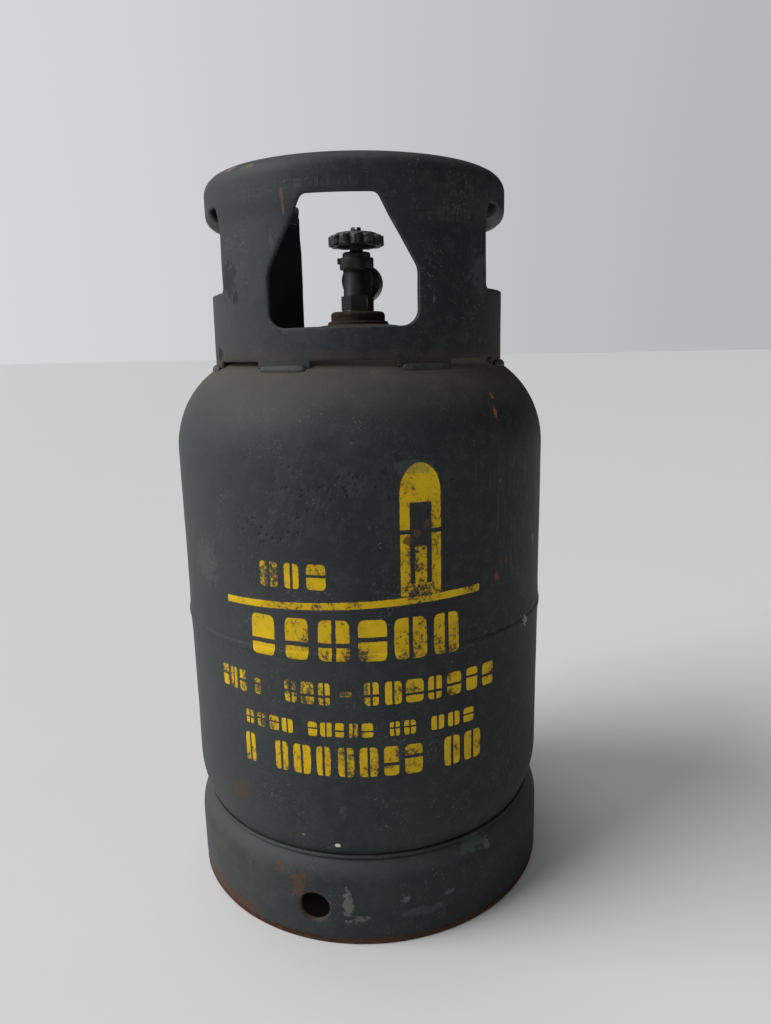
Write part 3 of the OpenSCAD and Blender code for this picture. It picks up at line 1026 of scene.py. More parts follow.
@dataclass(frozen=True)
class WornPaint:
    """Matte charcoal paint, chalked, dusty and scuffed, with painted light on its left and upper faces and
    painted shade on its right.

    Attributes:
        name: The material's name.
        effects: The shared shader groups.
        dust_from: Height at which dust starts to settle.
        dust_to: Height at which it lies thickest.
    """

    name: str
    effects: Effects
    dust_from: float = 300.0
    dust_to: float = 372.0

    def coat(self) -> Coat:
        """Starts the material with the layers that all painted parts share.

        Returns:
            The material so far.
        """
        c = Coat(self.name, Tone.PAINT.value, 0.52)
        w, fx = c.w, self.effects
        clouds = w.use(fx.clouds, Place=c.place, Low=0.4, High=0.64)
        c.lay(w.product(clouds, 0.34), Tone.CHALK_AND_PAINTED_LIGHT.value, 0.66)
        # painted light: the left of the front is painted lighter in the chalk tone, where the key light falls
        left = w.ramp(c.turn, 10.0, -70.0)
        front = w.ramp(w.math("ABSOLUTE", c.turn), 140.0, 100.0)
        c.lay(w.product(left, front, 0.46), Tone.CHALK_AND_PAINTED_LIGHT.value, 0.7)
        # painted shade: the right of the front is painted darker, on the side away from the key light
        painted_right_shade = w.product(w.ramp(c.turn, -25.0, 45.0), front)
        c.lay(w.product(painted_right_shade, 0.6), (0.01, 0.012, 0.013), 0.62)
        # painted light: faces that look up are painted lighter, as if lit from above
        c.lay(w.product(w.ramp(c.up, 0.25, 0.85), 0.3), Tone.CHALK_AND_PAINTED_LIGHT.value, 0.7)
        grain = w.noise(c.place, 0.9, 3.0, 0.6)
        c.lay(grain, None, None, 0.08)
        c.lay(w.noise(c.place, 4.0, 3.0, 0.55), None, None, 0.12)
        mottle = w.ramp(w.noise(c.place, 7.0, 6.0, 0.72, 0.5), 0.46, 0.66)
        c.lay(w.product(mottle, 0.26), Tone.CHALK_AND_PAINTED_LIGHT.value, 0.66)
        specks = w.use(fx.speckle, Place=c.place, Share=0.7)
        c.lay(w.product(specks, 0.5), (0.13, 0.13, 0.12), 0.75)
        scuffs = w.use(fx.scuffs, Place=c.place, Share=0.64)
        c.lay(w.product(scuffs, 0.25), Tone.CHALK_AND_PAINTED_LIGHT.value, 0.7)
        return c

    def dust(self, c: Coat) -> None:
        """Lets brown dust settle on what faces up.

        Args:
            c: The material so far.
        """
        w = c.w
        flat = w.ramp(c.up, 0.25, 0.95)
        high = w.ramp(c.height, self.dust_from, self.dust_to)
        broken = w.ramp(w.noise(c.place, 16.0, 5.0, 0.65), 0.3, 0.7)
        lying = w.product(flat, high, w.blend(0.5, broken, 1.0))
        c.lay(w.product(lying, 0.7), Tone.DUST.value, 0.9)

    def build(self) -> bpy.types.Material:
        """Builds the finish.

        Returns:
            The material.
        """
        c = self.coat()
        self.dust(c)
        return c.close(0.2)


@dataclass(frozen=True)
class PrintedPaint(WornPaint):
    """The vessel's paint, with worn yellow fields, pitting and its own marks."""

    def build(self) -> bpy.types.Material:
        """Builds the finish.

        Returns:
            The material.
        """
        c = self.coat()
        w = c.w
        self.dust(c)
        self.pitting(c)
        self.print(c)
        for at in vessel_marks():
            c.mark(at, self.effects.patch)
        flank = w.product(
            w.use(self.effects.scuffs, Place=c.place, Share=0.56), w.band(c.turn, 40.0, 80.0, 9.0),
            w.band(c.height, 175.0, 300.0, 20.0),
        )
        c.lay(w.product(flank, 0.24), (0.13, 0.13, 0.125), 0.7)
        under = w.product(w.ramp(c.radius, 117.5, 115.0), w.ramp(c.height, 62.0, 57.0))
        rusty = w.ramp(w.noise(c.place, 22.0, 5.0, 0.7), 0.35, 0.6)
        c.lay(under, (0.055, 0.045, 0.028), 0.9)
        c.lay(w.product(under, rusty), Tone.RUST.value, 0.9)
        return c.close(0.2)

    def pitting(self, c: Coat) -> None:
        """Adds fields of small pits round the shoulder, with painted shade in the pits and painted highlights
        on the blistered tops.

        Args:
            c: The material so far.
        """
        w = c.w
        belt = w.product(w.band(c.height, 280.0, 300.0, 6.0), w.band(c.turn, -26.0, 30.0, 7.0), 0.8)
        middle = w.product(w.band(c.height, 283.0, 301.0, 5.0), w.band(c.turn, -23.0, -8.0, 4.0))
        left = w.product(w.band(c.height, 256.0, 278.0, 6.0), w.band(c.turn, -34.0, -14.0, 6.0))
        above = w.product(w.band(c.height, 298.0, 318.0, 6.0), w.band(c.turn, 6.0, 26.0, 6.0), 0.9)
        area = w.most(belt, middle, left, above)
        pits = w.use(self.effects.pits, Place=c.place, Share=0.44)
        # painted shade: the pits are painted darker than the paint round them
        c.lay(w.product(pits, area), (0.019, 0.022, 0.025), 0.75, -0.5)
        # raised blisters, painted lighter on top as painted highlights
        crust = w.ramp(w.noise(c.place, 8.0, 5.0, 0.7), 0.5, 0.62)
        blister_and_painted_highlight = w.product(crust, w.ramp(w.noise(c.place, 2.2, 3.0, 0.6), 0.42, 0.62), area)
        c.lay(w.product(blister_and_painted_highlight, 0.3), (0.09, 0.094, 0.092), 0.7, 0.55)

    def print(self, c: Coat) -> None:
        """Adds the worn yellow fields: rows of plain blocks, one long line and a tall panel.

        Args:
            c: The material so far.
        """
        w = c.w
        fuzz = w.math("SUBTRACT", w.noise(c.place, 5.0, 4.0, 0.7), 0.5)
        turn = w.math("ADD", c.turn, w.product(fuzz, 0.5))
        height = w.math("ADD", c.height, w.product(fuzz, 1.2))
        rows = c.rows(print_words(), self.effects.blocks, turn, height)
        slope = w.math("SUBTRACT", height, w.product(turn, 0.08))
        line = w.product(w.band(turn, -42.0, 33.0, 0.4), w.band(slope, 219.2, 223.4, 0.7))
        fields = w.most(line, self.panel(w, turn, height), rows)
        patchy = w.noise(c.place, 20.0, 3.0, 0.6)
        flecks = w.noise(c.place, 2.2, 5.0, 0.75)
        wiped = w.product(w.band(height, 157.0, 177.0, 3.0), w.band(turn, -50.0, 12.0, 9.0), 0.045)
        worn = w.math("ADD", w.product(patchy, 0.55), w.product(flecks, 0.6))
        lost = w.ramp(w.math("ADD", worn, wiped), 0.6, 0.69)
        kept = w.math("SUBTRACT", 1.0, lost)
        solid = w.product(w.ramp(fields, 0.42, 0.58), kept)
        mist = w.product(fields, w.ramp(w.noise(c.place, 0.9, 2.0, 0.6), 0.45, 0.62), 0.25)
        shade = w.mix(w.ramp(patchy, 0.35, 0.65), Tone.YELLOW.value, (0.58, 0.36, 0.006))
        cover = w.most(solid, mist)
        c.colour = w.mix(cover, c.colour, shade)
        c.lay(cover, None, 0.62, 0.04)

    @staticmethod
    def panel(w: Wiring, turn: Socket, height: Socket) -> Socket:
        """Gives a tall rounded panel with a slot in it.

        Args:
            w: The wiring.
            turn: Turn from the front.
            height: Height.

        Returns:
            Where the panel is.
        """
        off = w.math("ABSOLUTE", w.math("SUBTRACT", turn, 15.0))
        over = w.math("MAXIMUM", w.math("SUBTRACT", height, 284.0), 0.0)
        across = w.math("POWER", w.math("DIVIDE", off, 5.6), 2.0)
        along = w.math("POWER", w.math("DIVIDE", over, 17.0), 2.0)
        reach = w.math("ADD", across, along)
        body = w.product(w.ramp(reach, 1.1, 0.9), w.band(height, 225.0, 303.0, 1.0))
        slot = w.product(w.ramp(off, 3.3, 2.7), w.band(height, 232.0, 279.0, 1.2))
        bar = w.product(w.ramp(off, 1.9, 1.4), w.band(height, 232.0, 254.0, 1.0))
        bridge = w.band(height, 261.0, 263.6, 0.5)
        frame_part = w.product(body, w.math("SUBTRACT", 1.0, w.most(slot, bridge)))
        return w.most(frame_part, bar)


@dataclass(frozen=True)
class RingPaint(WornPaint):
    """The foot ring's paint, rusting at its lower edge and inside."""

    def build(self) -> bpy.types.Material:
        """Builds the finish.

        Returns:
            The material.
        """
        c = self.coat()
        w, fx = c.w, self.effects
        # painted highlight: the ring's up-facing shoulder is painted lighter where light falls on it
        shoulder = w.product(w.ramp(c.up, 0.15, 0.6), w.ramp(c.height, 40.0, 48.0))
        c.lay(w.product(shoulder, 0.4), (0.085, 0.08, 0.085), 0.6)
        stained = w.product(w.ramp(c.turn, -20.0, -75.0), w.ramp(w.noise(c.place, 12.0, 5.0, 0.7), 0.4, 0.65))
        c.lay(w.product(stained, 0.5), (0.1, 0.085, 0.065), 0.85)
        low = w.ramp(c.height, 10.0, 0.0)
        flakes = w.noise(c.place, 7.0, 6.0, 0.72, 0.5)
        eaten = w.ramp(w.math("ADD", w.product(low, 0.62), flakes), 0.83, 0.95)
        c.lay(eaten, Tone.DARK_RUST.value, 0.9, -0.12)
        fresh = w.ramp(w.math("ADD", w.product(low, 0.42), w.noise(c.place, 9.0, 5.0, 0.7)), 0.8, 0.92)
        c.lay(w.product(fresh, 0.5), (0.105, 0.045, 0.024), 0.92, 0.08)
        chips = w.use(fx.wear, Place=c.place, Edge=c.edge, Amount=0.45)
        c.lay(w.product(chips, 0.8), (0.11, 0.05, 0.028), 0.88, -0.1)
        for at in ring_marks():
            c.mark(at, fx.patch)
        olive = w.ramp(w.noise(c.place, 18.0, 5.0, 0.7), 0.35, 0.65)
        c.lay(c.inside, (0.15, 0.13, 0.075), 0.92)
        c.lay(w.product(c.inside, olive), (0.11, 0.065, 0.035), 0.92, 0.15)
        return c.close(0.2)


@dataclass(frozen=True)
class CollarPaint(WornPaint):
    """The guard collar's paint, chipped at its edges and punched with plain marks."""

    def build(self) -> bpy.types.Material:
        """Builds the finish.

        Returns:
            The material.
        """
        c = self.coat()
        w, fx = c.w, self.effects
        stamped = c.rows(punched_rows(), fx.blocks, c.turn, c.height)
        outside = w.math("SUBTRACT", 1.0, c.inside)
        struck = w.product(stamped, outside, w.ramp(w.noise(c.place, 9.0, 3.0, 0.6), 0.38, 0.6))
        c.lay(struck, None, None, -0.2)
        c.lay(w.product(struck, 0.18), (0.09, 0.094, 0.094), 0.6)
        chips = w.use(fx.wear, Place=c.place, Edge=c.edge, Amount=0.26)
        c.lay(w.product(chips, 0.6), (0.11, 0.085, 0.065), 0.85, -0.08)
        c.lay(w.product(w.ramp(c.edge, 0.86, 1.0), 0.3), (0.09, 0.09, 0.088), 0.6)
        for at in collar_marks():
            c.mark(at, fx.patch)
        # painted shade: the collar's inside is painted near-black, as the shade inside it
        dark = w.product(c.inside, 0.85)
        c.lay(dark, (0.01, 0.011, 0.012), 0.55)
        foot = w.product(w.ramp(c.height, 364.0, 358.0), w.ramp(w.noise(c.place, 8.0, 4.0, 0.65), 0.35, 0.6))
        c.lay(w.product(foot, 0.45), (0.07, 0.052, 0.036), 0.9)
        return c.close(0.2)


@dataclass(frozen=True)
class WeldPaint(WornPaint):
    """Painted weld metal, lumpy and dusty."""

    def build(self) -> bpy.types.Material:
        """Builds the finish.

        Returns:
            The material.
        """
        c = self.coat()
        w = c.w
        c.lay(0.35, (0.045, 0.052, 0.056), 0.6)
        hollow = w.ramp(w.noise(c.place, 3.0, 4.0, 0.65), 0.6, 0.4)
        c.lay(w.product(hollow, 0.25), Tone.DUST.value, 0.9, -0.08)
        return c.close(0.2)


@dataclass(frozen=True)
class RustySteel:
    """Rusty steel with traces of dark paint.

    Attributes:
        name: The material's name.
        effects: The shared shader groups.
    """

    name: str
    effects: Effects

    def build(self) -> bpy.types.Material:
        """Builds the finish.

        Returns:
            The material.
        """
        c = Coat(self.name, Tone.DARK_RUST.value, 0.85)
        w, fx = c.w, self.effects
        red = w.ramp(w.noise(c.place, 6.0, 5.0, 0.7), 0.46, 0.66)
        c.lay(w.product(red, 0.45), (0.085, 0.038, 0.02), 0.9, 0.12)
        paint = w.use(fx.clouds, Place=c.place, Low=0.42, High=0.54)
        c.lay(w.product(paint, 0.8), (0.018, 0.017, 0.015), 0.6, 0.1)
        top = w.ramp(c.up, 0.2, 0.9)
        dusty = w.product(top, w.ramp(w.noise(c.place, 5.0, 5.0, 0.7), 0.35, 0.65))
        c.lay(w.product(dusty, 0.5), (0.09, 0.066, 0.042), 0.9)
        c.lay(w.noise(c.place, 1.2, 4.0, 0.6), None, None, 0.15)
        return c.close(0.4)


@dataclass(frozen=True)
class PaintedBrass:
    """Brass under black paint that is worn through in places.

    Attributes:
        name: The material's name.
        effects: The shared shader groups.
    """

    name: str
    effects: Effects

    def build(self) -> bpy.types.Material:
        """Builds the finish.

        Returns:
            The material.
        """
        c = Coat(self.name, Tone.BLACK.value, 0.42)
        w, fx = c.w, self.effects
        c.lay(w.ramp(w.noise(c.place, 6.0, 5.0, 0.65), 0.4, 0.65), (0.022, 0.023, 0.022), 0.5)
        worn = w.use(fx.speckle, Place=c.place, Share=0.73)
        c.lay(worn, Tone.BRASS.value, 0.4, -0.03, 0.9)
        line = w.product(w.band(c.turn, 34.0, 40.0, 1.0), w.band(c.height, 389.0, 396.0, 0.8))
        c.lay(w.product(line, 0.8), Tone.BRASS.value, 0.38, 0.0, 0.9)
        dusty = w.product(w.ramp(c.up, 0.5, 0.95), w.ramp(w.noise(c.place, 3.0, 4.0, 0.65), 0.4, 0.6))
        c.lay(w.product(dusty, 0.4), Tone.DUST.value, 0.9)
        c.lay(w.noise(c.place, 1.0, 3.0, 0.6), None, None, 0.06)
        return c.close(0.5)


@dataclass(frozen=True)
class WheelPaint:
    """Cast metal in green-black paint, grey and teal on its lobes, partly rubbed paint and partly a painted
    highlight.

    Attributes:
        name: The material's name.
        effects: The shared shader groups.
        rim: Radius outside which the lobes get their rubbed paint and painted highlight.
    """

    name: str
    effects: Effects
    rim: float = 15.0

    def build(self) -> bpy.types.Material:
        """Builds the finish.

        Returns:
            The material.
        """
        c = Coat(self.name, (0.014, 0.019, 0.018), 0.45)
        w, fx = c.w, self.effects
        c.lay(w.ramp(w.noise(c.place, 5.0, 4.0, 0.65), 0.42, 0.62), (0.035, 0.045, 0.04), 0.6)
        # grey-teal on the lobes: partly paint rubbed by hands, partly a painted highlight
        out = w.ramp(c.radius, self.rim, self.rim + 1.6)
        rubbed_and_painted_highlight = w.product(out, w.ramp(w.noise(c.place, 2.4, 5.0, 0.72), 0.5, 0.62))
        c.lay(w.product(rubbed_and_painted_highlight, 0.75), (0.14, 0.19, 0.175), 0.5)
        rusty = w.use(fx.speckle, Place=c.place, Share=0.7)
        c.lay(rusty, (0.1, 0.05, 0.025), 0.85)
        c.lay(w.noise(c.place, 1.6, 4.0, 0.65), None, None, 0.22)
        return c.close(0.5)


@dataclass(frozen=True)
class PlainFinish:
    """A small part's even finish with fine grain and grime.

    Attributes:
        name: The material's name.
        colour: Its colour.
        grime: Colour of the grime on it.
        rough: Its roughness.
        metallic: 1 for bare metal.
    """

    name: str
    colour: Colour
    grime: Colour
    rough: float
    metallic: float = 0.0

    def build(self) -> bpy.types.Material:
        """Builds the finish.

        Returns:
            The material.
        """
        c = Coat(self.name, self.colour, self.rough, self.metallic)
        w = c.w
        stains = w.ramp(w.noise(c.place, 3.0, 5.0, 0.65), 0.45, 0.65)
        c.lay(w.product(stains, 0.55), self.grime, min(1.0, self.rough + 0.2))
        c.lay(w.noise(w.stretch(c.place, (1.0, 1.0, 4.0)), 0.6, 3.0, 0.6), None, None, 0.03)
        return c.close()


def print_words() -> list[Word]:
    """Gives the groups of blocks stencilled on the front, from the top down."""
    return [
        Word(-30, -9.5, 230, 245, 3, 3),
        Word(-34.5, 27.4, 187.5, 212.5, 6, 11),
        Word(-47, -36, 160, 174, 3, 21),
        Word(-33.5, -31, 161, 171, 1, 25),
        Word(-24, -9.5, 160, 174, 3, 31),
        Word(-8, -4, 165.5, 169, 1, 35),
        Word(-2, 39.5, 160, 174.5, 7, 41),
        Word(-38, -21, 140, 149, 4, 51),
        Word(-17.5, 1.5, 140, 149, 5, 61),
        Word(5, 13.5, 140, 149, 2, 71),
        Word(17, 32, 140, 149, 3, 81),
        Word(-39, -33.5, 114.5, 133.5, 1, 91),
        Word(-28.5, 15.5, 114.5, 133.5, 7, 101),
        Word(20.5, 34.4, 114.5, 133.5, 2, 117),
    ]


def punched_rows() -> list[Word]:
    """Gives the rows of plain punch marks on the collar."""
    return [
        Word(-44, -32, 446, 451, 5, 203),
        Word(-28, 5, 448, 453, 9, 211),
        Word(24, 54, 444, 451, 7, 227),
        Word(20, 44, 431, 439, 6, 241),
        Word(31, 38, 415, 420, 2, 251),
        Word(42, 52, 413, 419, 3, 257),
        Word(-60, -49, 421, 428, 4, 263),
        Word(-56, -46, 407, 415, 3, 271),
    ]


def vessel_marks() -> list[Mark]:
    """Gives the marks on the two shells."""
    orange = (0.3, 0.095, 0.035)
    return [
        Mark(41.5, 325, 0.9, 3.4, orange, 0.9, 1.9, relief=0.05),
        Mark(43, 334, 0.5, 2.4, orange, 0.7, 1.8, relief=0.05),
        Mark(40, 228, 1.0, 2.6, (0.22, 0.06, 0.028), 0.8, 1.6, relief=0.05),
        Mark(44, 236, 0.6, 1.8, (0.16, 0.05, 0.028), 0.6, 1.7, relief=0.05),
        Mark(11.6, 257.5, 1.3, 2.4, (0.1, 0.055, 0.035), 0.85, 1.0, relief=-0.1),
        Mark(14.0, 261.5, 1.4, 2.4, (0.1, 0.055, 0.035), 0.85, 1.0, relief=-0.1),
        Mark(16.6, 266.0, 1.4, 2.6, (0.1, 0.055, 0.035), 0.85, 1.0, relief=-0.1),
        Mark(13, 299, 6.0, 4.0, (0.08, 0.085, 0.085), 0.4, 1.2),
        Mark(41, 285, 0.5, 1.2, (0.06, 0.14, 0.13), 0.7, 0.6),
        Mark(-10, 66, 0.9, 1.6, (0.75, 0.74, 0.7), 1.0, 0.15, relief=0.15),
        Mark(-20, 72, 0.5, 0.9, (0.5, 0.12, 0.15), 0.9, 0.15),
        Mark(-42, 90, 3.2, 7.0, (0.09, 0.052, 0.032), 0.5, 1.6),
        Mark(-8, 92, 1.2, 3.0, (0.1, 0.1, 0.11), 0.35, 1.8),
        Mark(-52, 236, 6.0, 12.0, (0.11, 0.11, 0.105), 0.35, 1.2),
        Mark(56, 190, 1.2, 3.0, (0.4, 0.4, 0.38), 0.7, 1.8),
        Mark(62, 240, 0.9, 4.0, (0.25, 0.25, 0.24), 0.4, 1.9),
        Mark(150, 260, 2.6, 6.0, (0.09, 0.055, 0.035), 0.45, 1.9),
        Mark(-130, 130, 2.2, 5.0, (0.1, 0.1, 0.095), 0.35, 1.9),
        Mark(-160, 300, 1.2, 3.4, orange, 0.5, 1.9),
        Mark(110, 110, 2.0, 4.0, (0.1, 0.06, 0.036), 0.45, 1.9),
    ]


def ring_marks() -> list[Mark]:
    """Gives the marks on the foot ring."""
    return [
        Mark(-22, 38, 1.8, 8.0, (0.11, 0.055, 0.03), 0.6, 1.5),
        Mark(-28, 45, 2.0, 4.0, (0.095, 0.055, 0.035), 0.5, 1.5),
        Mark(-7, 27, 1.4, 8.0, (0.22, 0.21, 0.2), 0.5, 1.8),
        Mark(-4, 18, 2.6, 2.4, (0.2, 0.19, 0.17), 0.45, 1.8),
        Mark(9, 30, 1.1, 3.4, (0.2, 0.2, 0.2), 0.45, 1.8),
        Mark(22, 28, 1.6, 1.6, (0.17, 0.17, 0.18), 0.4, 1.8),
        Mark(15, 20, 6.0, 3.0, (0.08, 0.095, 0.105), 0.4, 1.4),
        Mark(37, 49, 1.2, 2.6, (0.19, 0.2, 0.2), 0.45, 1.9),
        Mark(32, 52, 4.5, 4.0, (0.09, 0.14, 0.12), 0.5, 1.5),
        Mark(-50, 7, 14.0, 6.0, (0.1, 0.04, 0.02), 0.5, 1.6),
        Mark(0, 2, 18.0, 2.4, (0.062, 0.03, 0.02), 0.6, 1.7),
    ]


def collar_marks() -> list[Mark]:
    """Gives the marks on the guard collar."""
    pink = (0.3, 0.2, 0.16)
    return [
        Mark(-49, 464, 2.6, 1.4, pink, 0.5, 1.9, relief=-0.06),
        Mark(-38, 463, 1.8, 1.2, (0.24, 0.19, 0.12), 0.45, 1.9, relief=-0.06),
        Mark(-24.5, 442, 0.5, 6.0, (0.16, 0.11, 0.08), 0.6, 1.6, relief=-0.05),
        Mark(-30, 423, 0.5, 7.0, (0.11, 0.105, 0.1), 0.4, 1.5),
        Mark(-54, 404, 5.0, 10.0, (0.02, 0.022, 0.024), 0.7, 1.3),
        Mark(-49, 393, 2.0, 4.0, (0.018, 0.02, 0.024), 0.8, 0.8),
        Mark(27, 389, 0.5, 2.2, (0.14, 0.15, 0.15), 0.6, 1.4),
        Mark(50, 405, 6.0, 12.0, (0.1, 0.13, 0.12), 0.25, 1.6),
        Mark(-66, 361, 3.5, 4.0, (0.015, 0.015, 0.014), 1.0, 0.6, relief=0.3),
        Mark(120, 430, 2.4, 5.0, (0.1, 0.065, 0.045), 0.4, 1.9),
        Mark(-128, 440, 1.8, 3.6, pink, 0.35, 1.9),
    ]


# ---- sub-assemblies ----


@dataclass
class Vessel:
    """The two drawn shells and the bead that joins them.

    Attributes:
        effects: The shared shader groups.
        sheet: Thickness of the shells.
        knuckle: Knuckle radius of the upper head.
        crown: Crown radius of the upper head.
        base_knuckle: Knuckle radius of the lower head.
        base_crown: Crown radius of the lower head.
        joggle: Height of the lower shell's tongue inside the upper one.
        neck_step: How far the neck ring's spigot lies inside its outer face.
        turns: Steps round the vessel.
        spacing: Height of a step on the outer skin.
        inner_step: Height of a step on the inner skin, which no one sees.
    """

    effects: Effects
    sheet: float = 2.5
    knuckle: float = 62.0
    crown: float = 178.7
    base_knuckle: float = 60.0
    base_crown: float = 230.0
    joggle: float = 12.0
    neck_step: float = 2.5
    turns: int = 480
    spacing: float = 1.7
    inner_step: float = 12.0
    radius: float = field(init=False)
    crown_z: float = field(init=False)
    base_z: float = field(init=False)
    seam_z: float = field(init=False)
    neck_r: float = field(init=False)

    def __post_init__(self) -> None:
        """Takes the overall sizes from the frame."""
        _, high = box_mm("upper_shell")
        self.radius, self.crown_z = high[0], high[2]
        self.base_z = box_mm("lower_shell")[0][2]
        low, top = box_mm("seam_weld")
        self.seam_z = (low[2] + top[2]) / 2
        self.neck_r = box_mm("valve_boss")[1][0] - self.neck_step

    def head(self, knuckle: float, crown: float, inset: float) -> tuple[Points, float]:
        """Gives a head's skin from the wall to the axis.

        Args:
            knuckle: Knuckle radius.
            crown: Crown radius.
            inset: How far inside the outer skin.

        Returns:
            The skin's points above its tangent line, and the height of the outer crown.
        """
        reach = self.radius - knuckle
        half = math.degrees(math.asin(reach / (crown - knuckle)))
        drop = (crown - knuckle) * math.cos(math.radians(half))
        bend = arc((reach, 0.0), knuckle - inset, 0.0, 90.0 - half, 40)
        cap = arc((0.0, -drop), crown - inset, 90.0 - half, 90.0, 50)
        return np.concatenate([bend, cap[1:]]), crown - drop

    def upper_outline(self) -> Points:
        """Draws the upper shell's half section.

        Returns:
            The closed outline.
        """
        outer, rise = self.head(self.knuckle, self.crown, 0.0)
        inner, _ = self.head(self.knuckle, self.crown, self.sheet)
        tangent_z = self.crown_z - rise + self.neck_gap()
        edge_z = self.seam_z + 1.5
        skins = []
        faces = ((outer, self.radius, self.spacing), (inner, self.radius - self.sheet, self.inner_step))
        for skin, radius, step in faces:
            line = np.concatenate([[[radius, edge_z]], skin + [0.0, tangent_z]])
            line = resample(line, step)
            skins.append(line[line[:, 0] > self.neck_r])
        return np.concatenate([skins[0], skins[1][::-1]])

    def neck_gap(self) -> float:
        """Gives how far the crown dips between the axis and the neck ring's hole."""
        return self.crown - math.sqrt(self.crown**2 - self.neck_r**2)

    def lower_outline(self) -> Points:
        """Draws the lower shell's half section, with its tongue inside the upper shell.

        Returns:
            The closed outline.
        """
        outer, rise = self.head(self.base_knuckle, self.base_crown, 0.0)
        inner, _ = self.head(self.base_knuckle, self.base_crown, self.sheet)
        tangent_z = self.base_z + rise
        flip = np.array([1.0, -1.0])
        edge_z = self.seam_z - 1.5
        r1, r2 = self.radius - self.sheet, self.radius - 2 * self.sheet
        out = np.concatenate([outer[::-1] * flip + [0.0, tangent_z], [[self.radius, edge_z]]])
        out = resample(out, self.spacing)
        back = np.concatenate([inner[::-1] * flip + [0.0, tangent_z], [[r1, edge_z - self.sheet]]])
        back = resample(back, self.inner_step)
        z1 = edge_z + self.sheet
        tongue = np.array([[r1, z1], [r1, z1 + self.joggle], [r2, z1 + self.joggle], [r2, z1 - 1.0]])
        out[0, 0] = back[0, 0] = 0.05
        return np.concatenate([out, tongue, back[::-1]])

    def wall_dents(self, points: Points, normals: Points) -> Points:
        """Gives the shallow dents and pits of the outer skin.

        Args:
            points: The vertices.
            normals: Their normals.

        Returns:
            How far each moves, never outwards.
        """
        out = outward(points, normals) > -0.001
        away = (out | (normals[:, 2] > 0.3)) & (from_axis(points) > 0.2)
        if points[:, 2].max() < self.seam_z + 20:
            away = out | (normals[:, 2] < -0.3)
        free = np.clip(np.abs(points[:, 2] - self.seam_z) / 12.0 - 0.4, 0, 1)
        free *= np.clip((from_axis(points) - 30.0) / 10.0, 0, 1)
        broad = lumps(points, 75.0, 3.0) - 0.9
        small = np.clip(lumps(points, 19.0, 9.0), 0, 1)
        turn = np.degrees(np.arctan2(points[:, 0], -points[:, 1]))
        z = points[:, 2]
        belt = 0.6 * between(z, 280, 300, 8) * between(turn, -26, 30, 10)
        middle = between(z, 283, 301, 7) * between(turn, -23, -8, 6)
        left = between(z, 256, 278, 8) * between(turn, -34, -14, 8)
        above = between(z, 298, 318, 8) * between(turn, 6, 26, 8)
        area = np.maximum.reduce([belt, middle, left, above])
        pits = np.zeros(len(points))
        busy = area > 0
        if busy.any():
            spots = points[busy]
            pits[busy] = craters(spots, 5.2, 5.0) * np.clip(lumps(spots, 13.0, 2.0) + 0.45, 0, 1)
        depth = 0.28 * broad - 0.25 * small - 1.05 * pits * area
        return np.where(away, depth * free, 0.0)

    def build(self) -> None:
        """Makes the shells and their seam."""
        paint = PrintedPaint("shell_paint", self.effects).build()
        upper = lathe("upper_shell_skin", self.upper_outline(), self.turns)
        dent(upper, self.wall_dents)
        new_piece("upper_shell_skin", upper, paint, Body.CYLINDER, Slot.PAINT, "upper_shell")
        lower = lathe("lower_shell_skin", self.lower_outline(), self.turns)
        dent(lower, self.wall_dents)
        new_piece("lower_shell_skin", lower, paint, Body.CYLINDER, Slot.PAINT, "lower_shell")
        self.seam(paint)

    def seam(self, paint: bpy.types.Material) -> None:
        """Makes the seam's bead, rippled as a machine lays it.

        Args:
            paint: The shells' material.
        """
        low, high = box_mm("seam_weld")
        proud = high[0] - self.radius
        half = (high[2] - low[2]) / 2
        places = np.linspace(-1, 1, 11)
        steps = 900
        outlines = []
        for i in range(steps):
            a = 2 * math.pi * i / steps
            uneven = noise.noise((3 * math.cos(a), 3 * math.sin(a), 1.0))
            ripple = 0.86 + 0.1 * math.sin(180 * a) + 0.04 * uneven
            sway = 0.35 * noise.noise((9 * math.cos(a), 9 * math.sin(a), 4.0))
            face = np.stack(
                [self.radius - 0.3 + (proud + 0.3) * ripple * np.sqrt(np.clip(1 - places**2, 0, 1)),
                 self.seam_z + sway + (half - 0.4) * places], axis=1)
            root = np.array([[self.radius - 2.0, self.seam_z + 1.4], [self.radius - 2.0, self.seam_z - 1.4]])
            outlines.append(np.concatenate([face, root]))
        mesh = wavy_lathe("seam_bead", outlines, 60.0)
        new_piece("seam_bead", mesh, paint, Body.CYLINDER, Slot.PAINT, "seam_weld")


